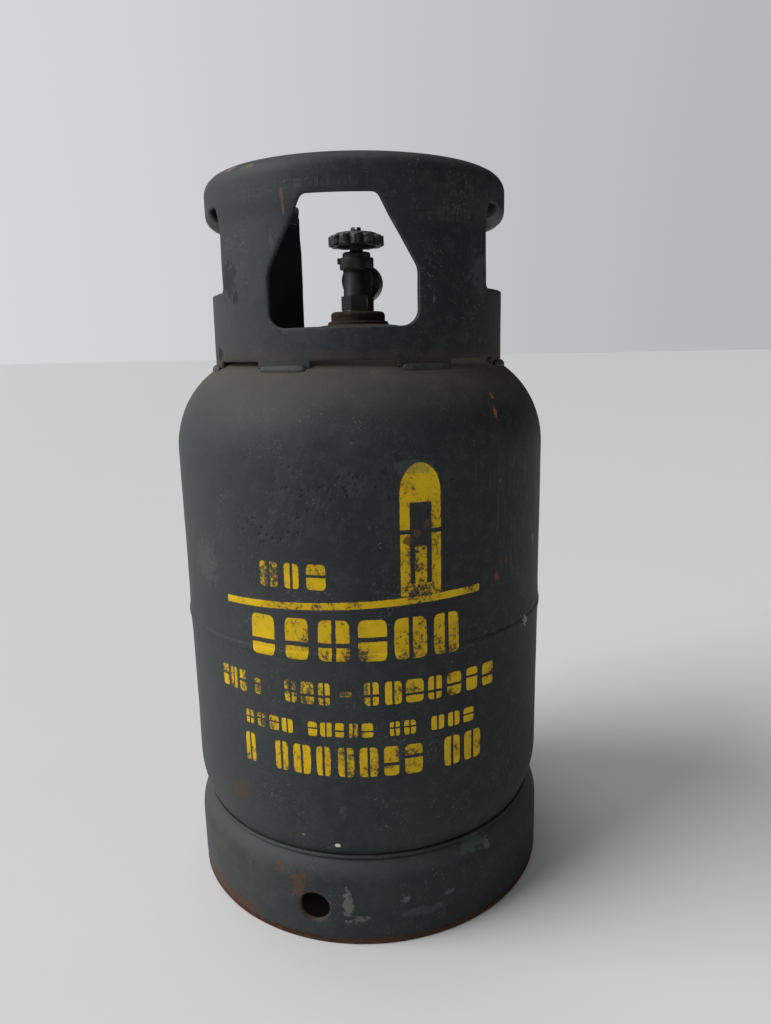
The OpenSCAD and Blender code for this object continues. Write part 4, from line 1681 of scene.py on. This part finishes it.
@dataclass
class FootRing:
    """The foot ring with its drain holes, and the bead under the lower head.

    Attributes:
        effects: The shared shader groups.
        sheet: Thickness of the ring.
        bend_z: Height at which the ring turns in.
        bend_r: Outer radius of that turn.
        turn_in: Angle of that turn.
        drain_d: Diameter of a drain hole.
        drain_z: Height of their centres.
        drain_turn: Turn of the first.
        drain_count: Number of drain holes.
        bead_root: Distance from the axis at which the bead under the head starts.
        spacing: Size of a triangle's side.
    """

    effects: Effects
    sheet: float = 3.0
    bend_z: float = 38.0
    bend_r: float = 24.0
    turn_in: float = 52.0
    drain_d: float = 19.0
    drain_z: float = 24.5
    drain_turn: float = -17.0
    drain_count: int = 3
    bead_root: float = 116.2
    spacing: float = 2.6
    radius: float = field(init=False)

    def __post_init__(self) -> None:
        """Takes the ring's radius from the frame."""
        self.radius = box_mm("foot_ring")[1][0]

    @property
    def middle(self) -> float:
        """Radius of the middle of the sheet."""
        return self.radius - self.sheet / 2

    def place(self, along: Points, across: Points, above: Points) -> Points:
        """Rolls the flat sheet into the ring.

        Args:
            along: Place along the sheet.
            across: Place across it, which is the height up to the turn.
            above: Distance above its middle.

        Returns:
            The bent points.
        """
        bend = self.bend_r - self.sheet / 2
        angle = np.clip(across - self.bend_z, 0, None) / bend
        centre = self.radius - self.bend_r
        radius = centre + (bend + above) * np.cos(angle)
        height = np.where(across < self.bend_z, across, self.bend_z + (bend + above) * np.sin(angle))
        return polar(radius, np.degrees(along / self.middle), height)

    def build(self) -> None:
        """Makes the ring and its bead."""
        half = math.pi * self.middle
        top = self.bend_z + math.radians(self.turn_in) * (self.bend_r - self.sheet / 2)
        columns = np.linspace(-half, half, math.ceil(2 * half / self.spacing) + 1)
        low = np.stack([columns, np.zeros_like(columns)], axis=1)
        high = np.stack([columns[::-1], np.full_like(columns, top)], axis=1)
        borders = [Border(low, False), Border(high, False)]
        for i in range(self.drain_count):
            turn = (self.drain_turn + i * 360 / self.drain_count + 180) % 360 - 180
            a = np.radians(np.arange(0, 360, 10))
            hole = np.stack([np.cos(a), -np.sin(a)], axis=1) * self.drain_d / 2
            borders.append(Border(hole + [math.radians(turn) * self.middle, self.drain_z]))
        rows = np.arange(self.spacing, top - 1, self.spacing)
        sheet = Sheet("foot_ring_sheet", borders, columns, rows, self.sheet, 1.0, False)
        mesh = sheet.roll(self.place)
        dent(mesh, self.knocks)
        paint = RingPaint("ring_paint", self.effects).build()
        new_piece("foot_ring_sheet", mesh, paint, Body.CYLINDER, Slot.RING, "foot_ring")
        self.bead(paint)

    def knocks(self, points: Points, normals: Points) -> Points:
        """Gives the ring's dents.

        Args:
            points: The vertices.
            normals: Their normals.

        Returns:
            How far each moves, never outwards.
        """
        low = np.clip(1 - points[:, 2] / 14.0, 0, 1) * (points[:, 2] > 0.4)
        rough = lumps(points, 6.0, 1.0) - 0.5
        out = outward(points, normals) > 0
        broad = 0.5 * (lumps(points, 45.0, 6.0) - 0.6)
        return np.where(out, np.minimum(0.3 * low * rough + 0.4 * broad, 0), -0.4 * broad * 0.3)

    def bead(self, paint: bpy.types.Material) -> None:
        """Makes the bead between ring and head.

        Args:
            paint: The ring's material.
        """
        low, high = box_mm("foot_ring_weld")
        centre = ((high[0] + self.bead_root) / 2, (low[2] + high[2]) / 2)
        mesh = ring_bead("foot_ring_bead", centre, high[0] - centre[0], 720, (0.1, 20.0, 2.0))
        new_piece("foot_ring_bead", mesh, paint, Body.CYLINDER, Slot.RING, "foot_ring_weld")


@dataclass
class GuardCollar:
    """The guard collar, cut flat, rolled and bent, and its weld beads.

    Attributes:
        effects: The shared shader groups.
        sheet: Thickness of the collar.
        band_proud: How far the band stands out past the wall.
        wall_drop: Drop from the rim to the end of the plain wall.
        band_drop: Drop from the rim to the start of the band.
        roll: Outer radius of the rolled rim.
        lip: Length of the straight lip inside it.
        grip_roll: Outer radius of the rolled edge under a grip.
        grip_drop: Drop from the rim to that roll's middle.
        turn: Turn of the collar's middle.
        back_half: Half angle of the opening at the back.
        back_corner: Size of the cut-off corners beside it.
        lip_cut: How much further in the end of the rolled lip is cut.
        spacing: Size of a triangle's side.
        hand: Turns at which a hand hole starts and ends.
        hand_slit: How far a grip's tongue lies inside that, in degrees.
        hand_drop: Drop from the rim to a hand hole's lower edge.
        window: Drops from the rim to the front window's sill, side corners and top.
        window_half: Half angles of the window at its sill and at its top.
        window_turn: Turn of the window's middle.
        notch_drop: Drop from the rim to the top of the notches between the feet.
        notches: Turns at which each notch starts and ends.
        feet: Turns at which each foot's bead starts and ends.
    """

    effects: Effects
    sheet: float = 3.0
    band_proud: float = 1.3
    wall_drop: float = 32.0
    band_drop: float = 22.0
    roll: float = 10.0
    lip: float = 4.0
    grip_roll: float = 7.0
    grip_drop: float = 21.0
    turn: float = -2.0
    back_half: float = 29.0
    back_corner: float = 6.0
    lip_cut: float = 6.0
    spacing: float = 2.1
    hand: tuple[float, float] = (57.0, 118.0)
    hand_slit: float = 8.0
    hand_drop: float = 70.0
    window: tuple[float, float, float] = (92.5, 61.0, 22.0)
    window_half: tuple[float, float] = (42.5, 20.5)
    window_turn: float = -3.5
    notch_drop: float = 111.17
    notches: tuple[tuple[float, float], ...] = ((-118, -92), (-62, -36.5), (-15, 15), (36.5, 62), (92, 118))
    feet: tuple[tuple[float, float], ...] = (
        (-149, -119.5), (-90, -64), (-35, -16.5), (16.5, 35), (64, 90), (119.5, 149))
    band_r: float = field(init=False)
    rim_z: float = field(init=False)
    foot_z: float = field(init=False)

    def __post_init__(self) -> None:
        """Takes the collar's overall sizes from the frame."""
        low, high = box_mm("guard_collar")
        self.band_r = max(-low[0], high[0])
        self.rim_z, self.foot_z = high[2], low[2]

    @property
    def middle(self) -> float:
        """Radius of the middle of the plain wall."""
        return self.band_r - self.band_proud - self.sheet / 2

    def along(self, turn: float | Points) -> float | Points:
        """Gives the place along the flat sheet of a turn from the collar's middle."""
        return np.radians(turn) * self.middle

    @property
    def tongue_len(self) -> float:
        """Length of the flat tongue that becomes a grip's rolled edge."""
        return math.pi * (self.grip_roll - self.sheet / 2)

    def profile(self, across: Points, above: Points) -> tuple[Points, Points]:
        """Bends the sheet's middle line.

        Args:
            across: Place across the sheet, which is the height up to the rolled rim.
            above: Distance above its middle.

        Returns:
            The distance from the axis and the height.
        """
        step = np.clip((across - (self.rim_z - self.wall_drop)) / (self.wall_drop - self.band_drop), 0, 1)
        radius = self.middle + self.band_proud * step + above
        height = np.array(across, float)
        turn_z = self.rim_z - self.roll
        bend = self.roll - self.sheet / 2
        angle = np.clip((across - turn_z) / bend, 0, math.pi)
        past = np.clip(across - turn_z - math.pi * bend, 0, None)
        rolled = across > turn_z
        centre = self.band_r - self.roll
        radius = np.where(rolled, centre + (bend + above) * np.cos(angle), radius)
        height = np.where(rolled, turn_z + (bend + above) * np.sin(angle) - past, height)
        return radius, height

    def place(self, along: Points, across: Points, above: Points) -> Points:
        """Rolls the flat sheet into the collar, its tongues into the grips.

        Args:
            along: Place along the sheet.
            across: Place across it.
            above: Distance above its middle.

        Returns:
            The bent points.
        """
        turn = np.degrees(along / self.middle)
        radius, height = self.profile(across, above)
        slit_z = self.rim_z - self.grip_drop
        span = np.abs(turn)
        tongue = (span > self.hand[0] + self.hand_slit - 1.2) & (span < self.hand[1] - self.hand_slit + 1.2)
        tongue &= (across < slit_z + 0.01) & (across > slit_z - self.tongue_len - 1)
        bend = self.grip_roll - self.sheet / 2
        angle = (slit_z - across) / bend
        centre = self.band_r - self.grip_roll
        radius = np.where(tongue, centre + (bend + above) * np.cos(angle), radius)
        height = np.where(tongue, slit_z - (bend + above) * np.sin(angle), height)
        return polar(radius, turn + self.turn, height)

    def outer_border(self) -> Border:
        """Draws the flat sheet's outer edge, feet and notches included.

        Returns:
            The edge.
        """
        edge = 180 - self.back_half
        notch_z = self.rim_z - self.notch_drop
        corners = [(-edge, self.foot_z)]
        for start, end in self.notches:
            corners += [(start, self.foot_z), (start, notch_z), (end, notch_z), (end, self.foot_z)]
        corners.append((edge, self.foot_z))
        foot = np.array([(self.along(t), z) for t, z in corners])
        turn_z = self.rim_z - self.roll
        bend = self.roll - self.sheet / 2
        top = turn_z + math.pi * bend + self.lip
        across = np.arange(self.rim_z - 60, top, self.spacing * 0.7)
        _, height = self.profile(across, np.full_like(across, self.sheet / 2))
        cut = np.clip(height - (self.rim_z - self.back_corner), 0, None)
        crest = turn_z + math.pi / 2 * bend
        depth = (self.rim_z - height) / (self.roll + self.lip)
        cut = np.where(across > crest, self.back_corner + self.lip_cut * depth, cut)
        right = np.stack([self.along(edge) - cut, across], axis=1)
        lip_end = self.along(edge) - self.back_corner - self.lip_cut
        right = np.concatenate([right, [[lip_end, top]]])
        left = right[::-1] * [-1.0, 1.0]
        ring = np.concatenate([foot, right, left])
        return Border(dense(ring, self.spacing))

    def window_border(self) -> Border:
        """Draws the front window's edge.

        Returns:
            The edge.
        """
        sill, side, top = (self.rim_z - drop for drop in self.window)
        wide, narrow = self.window_half
        corners = [(-wide, sill), (-wide, side), (-narrow, top), (narrow, top), (wide, side), (wide, sill)]
        ring = rounded(corners, [9, 12, 5, 5, 12, 9])
        ring = dense(ring, self.spacing)
        turn = np.degrees(np.arcsin(ring[:, 0] / self.middle)) + self.window_turn
        return Border(np.stack([self.along(turn), ring[:, 1]], axis=1))

    def hand_border(self, side: int) -> Border:
        """Draws a hand hole's edge, which goes round the grip's flat tongue.

        Args:
            side: 1 for the right hole, -1 for the left.

        Returns:
            The edge.
        """
        first, last = self.along(self.hand[0]), self.along(self.hand[1])
        slit = self.along(self.hand_slit)
        low, high = self.rim_z - self.hand_drop, self.rim_z - self.grip_drop
        end = high - self.tongue_len
        corners = [(first, low), (first, high), (first + slit, high), (first + slit, end),
                   (last - slit, end), (last - slit, high), (last, high), (last, low)]
        ring = rounded(corners, [3, 3, 1.2, 1.5, 1.5, 1.2, 3, 3], 5)
        ring = dense(ring, self.spacing)
        if side < 0:
            ring = ring[::-1] * [-1.0, 1.0]
        return Border(ring)

    def knocks(self, points: Points, normals: Points) -> Points:
        """Gives the sheet's gentle waves; both skins move together.

        Args:
            points: The vertices.
            normals: Their normals.

        Returns:
            How far each moves.
        """
        way = np.sign(outward(points, normals))
        below = np.clip((self.rim_z - 14 - points[:, 2]) / 20.0, 0, 1)
        free = np.clip((points[:, 2] - self.foot_z - 6) / 20.0, 0, 1)
        wave = 0.5 * lumps(points, 48.0, 4.0) + 0.15 * lumps(points, 14.0, 7.0) - 0.25
        return way * wave * below * free

    def build(self) -> None:
        """Makes the collar and its beads."""
        borders = [self.outer_border(), self.window_border(), self.hand_border(1), self.hand_border(-1)]
        edge = self.along(180 - self.back_half)
        top = self.rim_z - self.roll + math.pi * (self.roll - self.sheet / 2) + self.lip
        columns = np.arange(-edge, edge, self.spacing)
        rows = np.arange(self.foot_z, top, self.spacing)
        sheet = Sheet("guard_collar_sheet", borders, columns, rows, self.sheet, 0.8)
        mesh = sheet.roll(self.place)
        dent(mesh, self.knocks)
        paint = CollarPaint("collar_paint", self.effects, 395.0, 420.0).build()
        new_piece("guard_collar_sheet", mesh, paint, Body.CYLINDER, Slot.COLLAR, "guard_collar")
        self.beads()

    def beads(self) -> None:
        """Makes the lumpy beads that hold the collar's feet."""
        low, high = box_mm("collar_welds")
        radius = -low[0] - 3.4
        centre_z = (low[2] + high[2]) / 2 - 0.4
        points, faces = [], []
        around = 18
        for start, end in self.feet:
            steps = max(8, int(math.radians(end - start) * radius / 1.1))
            base = len(points)
            for i in range(steps + 1):
                t = i / steps
                turn = start + (end - start) * t + self.turn
                taper = math.sqrt(max(0.0, 1 - abs(2 * t - 1) ** 7)) * 0.98 + 0.02
                place = polar(np.array([radius]), np.array([turn]), np.array([centre_z]))[0]
                lump = 1 + 0.12 * noise.noise(place / 9.0)
                size = 2.3 * taper * lump
                for k in range(around):
                    a = 2 * math.pi * k / around
                    out, rise = 0.72 * size * math.cos(a), 0.86 * size * math.sin(a)
                    height = np.array([centre_z - 0.3 + rise - 0.6 * out])
                    points.append(polar(np.array([radius + out]), np.array([turn]), height)[0])
            for i in range(steps):
                for k in range(around):
                    a, b = base + i * around + k, base + i * around + (k + 1) % around
                    faces.append((a, b, b + around, a + around))
            faces.append(tuple(base + k for k in range(around)))
            faces.append(tuple(base + steps * around + k for k in reversed(range(around))))
        mesh = new_mesh("collar_foot_beads", np.array(points), faces)
        paint = WeldPaint("bead_paint", self.effects).build()
        new_piece("collar_foot_beads", mesh, paint, Body.CYLINDER, Slot.WELD, "collar_welds")


@dataclass
class NeckBoss:
    """The neck ring and its bead.

    Attributes:
        effects: The shared shader groups.
        edge_r: Rounding of the neck ring's top edge.
        bore_r: Radius of the threaded hole at the top.
        step: How far the spigot lies inside the outer face.
        face_h: Height of the outer face.
        bead_r: Radius of the bead under it.
    """

    effects: Effects
    edge_r: float = 2.8
    bore_r: float = 10.4
    step: float = 2.5
    face_h: float = 9.5
    bead_r: float = 1.7

    def build(self) -> None:
        """Makes the neck ring and its bead."""
        low, high = box_mm("valve_boss")
        radius, top = high[0], high[2]
        steps = 240
        outline = np.concatenate([
            [[self.bore_r, low[2]], [radius - self.step, low[2]], [radius - self.step, top - self.face_h]],
            resample(np.array([[radius, top - self.face_h], [radius, top - self.edge_r]]), 0.8),
            arc((radius - self.edge_r, top - self.edge_r), self.edge_r, 8, 90, 8),
            resample(np.array([[radius - self.edge_r - 0.8, top], [self.bore_r, top]]), 1.0),
        ])
        mesh = lathe("neck_ring", outline, steps)
        dent(mesh, self.rust_pits)
        rust = RustySteel("boss_rust", self.effects).build()
        new_piece("neck_ring", mesh, rust, Body.CYLINDER, Slot.BOSS, "valve_boss")
        low, high = box_mm("boss_weld")
        centre = (high[0] - 2.4, (low[2] + high[2]) / 2 - 0.8)
        bead = ring_bead("neck_ring_bead", centre, self.bead_r, steps, (0.12, 6.0, 5.0))
        new_piece("neck_ring_bead", bead, rust, Body.CYLINDER, Slot.BOSS, "boss_weld")

    def rust_pits(self, points: Points, normals: Points) -> Points:
        """Gives the rusty face's pits, clear of the bore."""
        rough = np.minimum(0.35 * lumps(points, 4.0, 2.0) + 0.25 * lumps(points, 1.8, 8.0) - 0.25, 0)
        return rough * (from_axis(points) > self.bore_r + 1)


class CadParts:
    """The construction nodes whose own shape shows, softened at their edges and dressed."""

    def __init__(self, effects: Effects) -> None:
        """Makes their finishes.

        Args:
            effects: The shared shader groups.
        """
        brass = PlainFinish("turned_brass", Tone.BRASS.value, (0.12, 0.09, 0.05), 0.35, 1.0).build()
        white = PlainFinish("sealing_plastic", (0.62, 0.6, 0.54), (0.3, 0.26, 0.2), 0.5).build()
        painted = PaintedBrass("valve_black", effects).build()
        fibre = PlainFinish("gasket_fibre", (0.14, 0.09, 0.055), (0.05, 0.035, 0.02), 0.85).build()
        rubber = PlainFinish("seat_rubber", (0.018, 0.018, 0.018), (0.04, 0.04, 0.038), 0.75).build()
        black = PlainFinish("screw_black", (0.03, 0.03, 0.028), (0.08, 0.06, 0.04), 0.5, 0.6).build()
        self.looks = {
            "valve_body": painted,
            "bonnet": painted,
            "packing_nut": painted,
            "bonnet_gasket": fibre,
            "slip_washer": white,
            "packing": white,
            "gland_ring": brass,
            "spindle": brass,
            "seat_plug": brass,
            "seat_disc": rubber,
            "wheel_screw": black,
        }

    def build(self) -> None:
        """Dresses each node and rounds its edges."""
        for name, finish in self.looks.items():
            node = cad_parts[name]
            for slot in node.material_slots:
                slot.material = finish
            for kind, settings in (
                ("WELD", {"merge_threshold": 0.001 * MM}),
                ("DECIMATE", {"decimate_type": "DISSOLVE", "angle_limit": math.radians(1.0)}),
                ("BEVEL", {"width": 0.25 * MM, "segments": 2, "limit_method": "ANGLE",
                           "angle_limit": math.radians(35)}),
            ):
                made = node.modifiers.new(kind.lower(), kind)
                for key, value in settings.items():
                    setattr(made, key, value)
            log.info("%s keeps its construction mesh, dressed as %s", name, finish.name)


@dataclass
class Handwheel:
    """The cast handwheel.

    Attributes:
        effects: The shared shader groups.
        cap_r: Radius of the domed cap.
        lobes: Number of lobes.
        lobe_r: Radius of one lobe.
        lobe_h: Height of the lobes.
        lift: How far the hub reaches below the lobes.
        edge_r: Rounding of the cap's edge.
        hub_r: Radius of the hub under the cap.
        skirt: Thickness of the skirt.
        web: Thickness of the cap over the recess.
        bore_r: Radius of the hole for the spindle.
    """

    effects: Effects
    cap_r: float = 15.3
    lobes: int = 12
    lobe_r: float = 3.4
    lobe_h: float = 6.6
    lift: float = 3.0
    edge_r: float = 3.0
    hub_r: float = 4.4
    skirt: float = 2.2
    web: float = 4.6
    bore_r: float = 1.75

    def build(self) -> None:
        """Makes the wheel."""
        low, high = box_mm("handwheel")
        steps = 480
        reach = high[0] - self.lobe_r
        outlines = [self.section(360.0 * i / steps, reach, low[2], high[2]) for i in range(steps)]
        mesh = wavy_lathe("handwheel_casting", outlines, 55.0)
        dent(mesh, self.casting_marks)
        paint = WheelPaint("wheel_paint", self.effects).build()
        new_piece("handwheel_casting", mesh, paint, Body.WHEEL, Slot.WHEEL, "handwheel")

    def section(self, turn: float, reach: float, low: float, high: float) -> Points:
        """Gives the wheel's half section at one turn.

        Args:
            turn: Turn from the front.
            reach: Distance of the lobes' middles from the axis.
            low: Height of the wheel's underside.
            high: Height of its top.

        Returns:
            The closed outline.
        """
        pitch = 360.0 / self.lobes
        off = math.radians((turn + pitch / 2) % pitch - pitch / 2)
        inside = self.lobe_r**2 - (reach * math.sin(off)) ** 2
        lobe = reach * math.cos(off) + math.sqrt(inside) if inside > 0 else 0.0
        valley = self.cap_r + 0.15
        rim = (max(valley, 0) ** 14 + max(lobe, 0) ** 14) ** (1 / 14) if lobe else valley
        rim = min(rim, reach + self.lobe_r)
        swell = min(1.0, (rim - valley) / (reach + self.lobe_r - valley))
        skirt_z = low + self.lift
        top_z = skirt_z + self.lobe_h
        crown = arc((self.cap_r - self.edge_r, high - self.edge_r), self.edge_r, 90, 12, 9)
        dome = np.stack([np.linspace(self.bore_r, self.cap_r - self.edge_r, 9), np.full(9, high)], axis=1)
        dome[:, 1] -= 0.5 * (dome[:, 0] / self.cap_r) ** 2 - 0.32
        dome[:, 1] = np.minimum(dome[:, 1], high)
        ledge_r = self.cap_r + 0.3 * (rim - self.cap_r)
        ledge = np.array([[self.cap_r, top_z + 0.9], [ledge_r, top_z + 0.35 * swell]])
        shoulder = arc((rim - 1.1, top_z - 1.1 + 0.3 * swell), 1.1, 80, 5, 5)
        side = np.stack([np.full(5, rim), np.linspace(top_z - 2.0, skirt_z + 1.2, 5)], axis=1)
        foot = arc((rim - 0.9, skirt_z + 0.9), 0.9, 0, -90, 4)
        under = np.array([
            [self.cap_r - self.skirt, skirt_z], [self.cap_r - self.skirt, high - self.web],
            [self.hub_r, high - self.web], [self.hub_r, low + 0.1],
            [self.bore_r + 1.6, low + 0.1], [self.bore_r, low + 1.0],
        ])
        return np.concatenate([dome, crown[1:], ledge, shoulder, side, foot, under])

    def casting_marks(self, points: Points, normals: Points) -> Points:
        """Gives the casting's roughness and its chipped lower edge.

        Args:
            points: The vertices.
            normals: Their normals; not used.

        Returns:
            How far each moves, never outwards.
        """
        away = from_axis(points)
        low = points[:, 2].min() + self.lift
        chipped = np.clip(1 - (points[:, 2] - low) / 2.5, 0, 1) * (away > self.cap_r - 1)
        rough = 0.16 * lumps(points, 2.6, 3.0) + 0.1 * lumps(points, 1.1, 6.0) - 0.14
        chips = 0.5 * chipped * np.clip(lumps(points, 3.5, 8.0), 0, 1)
        return np.minimum(rough - chips, 0) * (away > self.hub_r)


@dataclass
class Studio:
    """The floor, the soft lights, the pale surroundings and the camera.

    Attributes:
        eye: Place of the camera in metres.
        pitch: How far it looks down.
        yaw: How far it looks towards +X.
        roll: How far it is rolled.
        lens: Focal length on a 36 mm sensor.
    """

    eye: tuple[float, float, float] = (0.0, -0.5264, 0.3615)
    pitch: float = 12.15
    yaw: float = 1.735
    roll: float = -1.136
    lens: float = 26.49

    def build(self) -> None:
        """Makes everything round the object."""
        self.floor()
        self.lights()
        self.world()
        self.camera()
        bpy.context.scene.view_settings.view_transform = "Standard"

    def floor(self) -> None:
        """Makes the plain pale floor."""
        mesh = bpy.data.meshes.new("floor")
        half = 40.0
        corners = [(-half, -half, 0), (half, -half, 0), (half, half, 0), (-half, half, 0)]
        mesh.from_pydata(corners, [], [(0, 1, 2, 3)])
        floor = bpy.data.objects.new("floor", mesh)
        bpy.context.scene.collection.objects.link(floor)
        c = Coat("pale_floor", (0.74, 0.745, 0.735), 0.55)
        c.lay(c.w.product(c.w.noise(c.place, 160.0, 3.0, 0.5), 0.25), (0.66, 0.67, 0.66))
        mesh.materials.append(c.close(0.3))

    def lights(self) -> None:
        """Makes the soft lights."""
        for name, place, angle, strength in (
            ("key", (-1.0, -0.22, 0.82), 42.0, 2.7),
            ("top", (-0.1, 0.1, 1.0), 24.0, 0.6),
        ):
            data = bpy.data.lights.new(name, "SUN")
            data.angle = math.radians(angle)
            data.energy = strength
            lamp = bpy.data.objects.new(name, data)
            lamp.location = place
            lamp.rotation_mode = "QUATERNION"
            lamp.rotation_quaternion = Vector(place).to_track_quat("Z", "Y")
            bpy.context.scene.collection.objects.link(lamp)

    def world(self) -> None:
        """Makes the surroundings pale where they are seen and dimmer where they light."""
        world = bpy.data.worlds.new("surroundings")
        bpy.context.scene.world = world
        world.use_nodes = True
        world.node_tree.nodes.clear()
        w = Wiring(world.node_tree)
        path = w.node("LightPath")
        kinds = ("Is Camera Ray", "Is Glossy Ray", "Is Transmission Ray")
        seen = w.most(*(path.outputs[kind] for kind in kinds))
        axes = w.node("SeparateXYZ")
        w.put(axes.inputs[0], w.node("TexCoord").outputs["Generated"])
        across = axes.outputs[0]
        shown = w.ramp(across, -0.55, 0.55, 0.70, 0.48)
        mirrored = w.ramp(across, -0.9, 0.35, 0.6, 0.03)
        back = w.node("Background")
        w.put(back.inputs[0], (0.96, 0.98, 1.0))
        level = w.blend(path.outputs["Is Glossy Ray"], w.blend(seen, 0.15, shown), mirrored)
        w.put(back.inputs[1], level)
        w.put(w.node("OutputWorld").inputs[0], back.outputs[0])

    def camera(self) -> None:
        """Makes the camera."""
        pitch, yaw, roll = (math.radians(a) for a in (self.pitch, self.yaw, self.roll))
        ahead = Vector((math.sin(yaw) * math.cos(pitch), math.cos(yaw) * math.cos(pitch), -math.sin(pitch)))
        right = Vector((math.cos(yaw), -math.sin(yaw), 0.0))
        up = right.cross(ahead)
        side = right * math.cos(roll) + up * math.sin(roll)
        top = up * math.cos(roll) - right * math.sin(roll)
        data = bpy.data.cameras.new("camera")
        data.lens = self.lens
        data.sensor_width = 36.0
        camera = bpy.data.objects.new("camera", data)
        turn = Matrix((side, top, -ahead)).transposed().to_4x4()
        camera.matrix_world = Matrix.Translation(self.eye) @ turn
        bpy.context.scene.collection.objects.link(camera)
        bpy.context.scene.camera = camera


def main() -> None:
    """Builds every sub-assembly in order."""
    logging.basicConfig(level=logging.INFO, format="%(name)s: %(message)s")
    effects = Effects()
    for part in (
        Vessel(effects),
        FootRing(effects),
        GuardCollar(effects),
        NeckBoss(effects),
        CadParts(effects),
        Handwheel(effects),
        Studio(),
    ):
        part.build()
        log.info("%s done", type(part).__name__)
    bpy.context.view_layer.update()


if __name__ == "__main__":
    main()
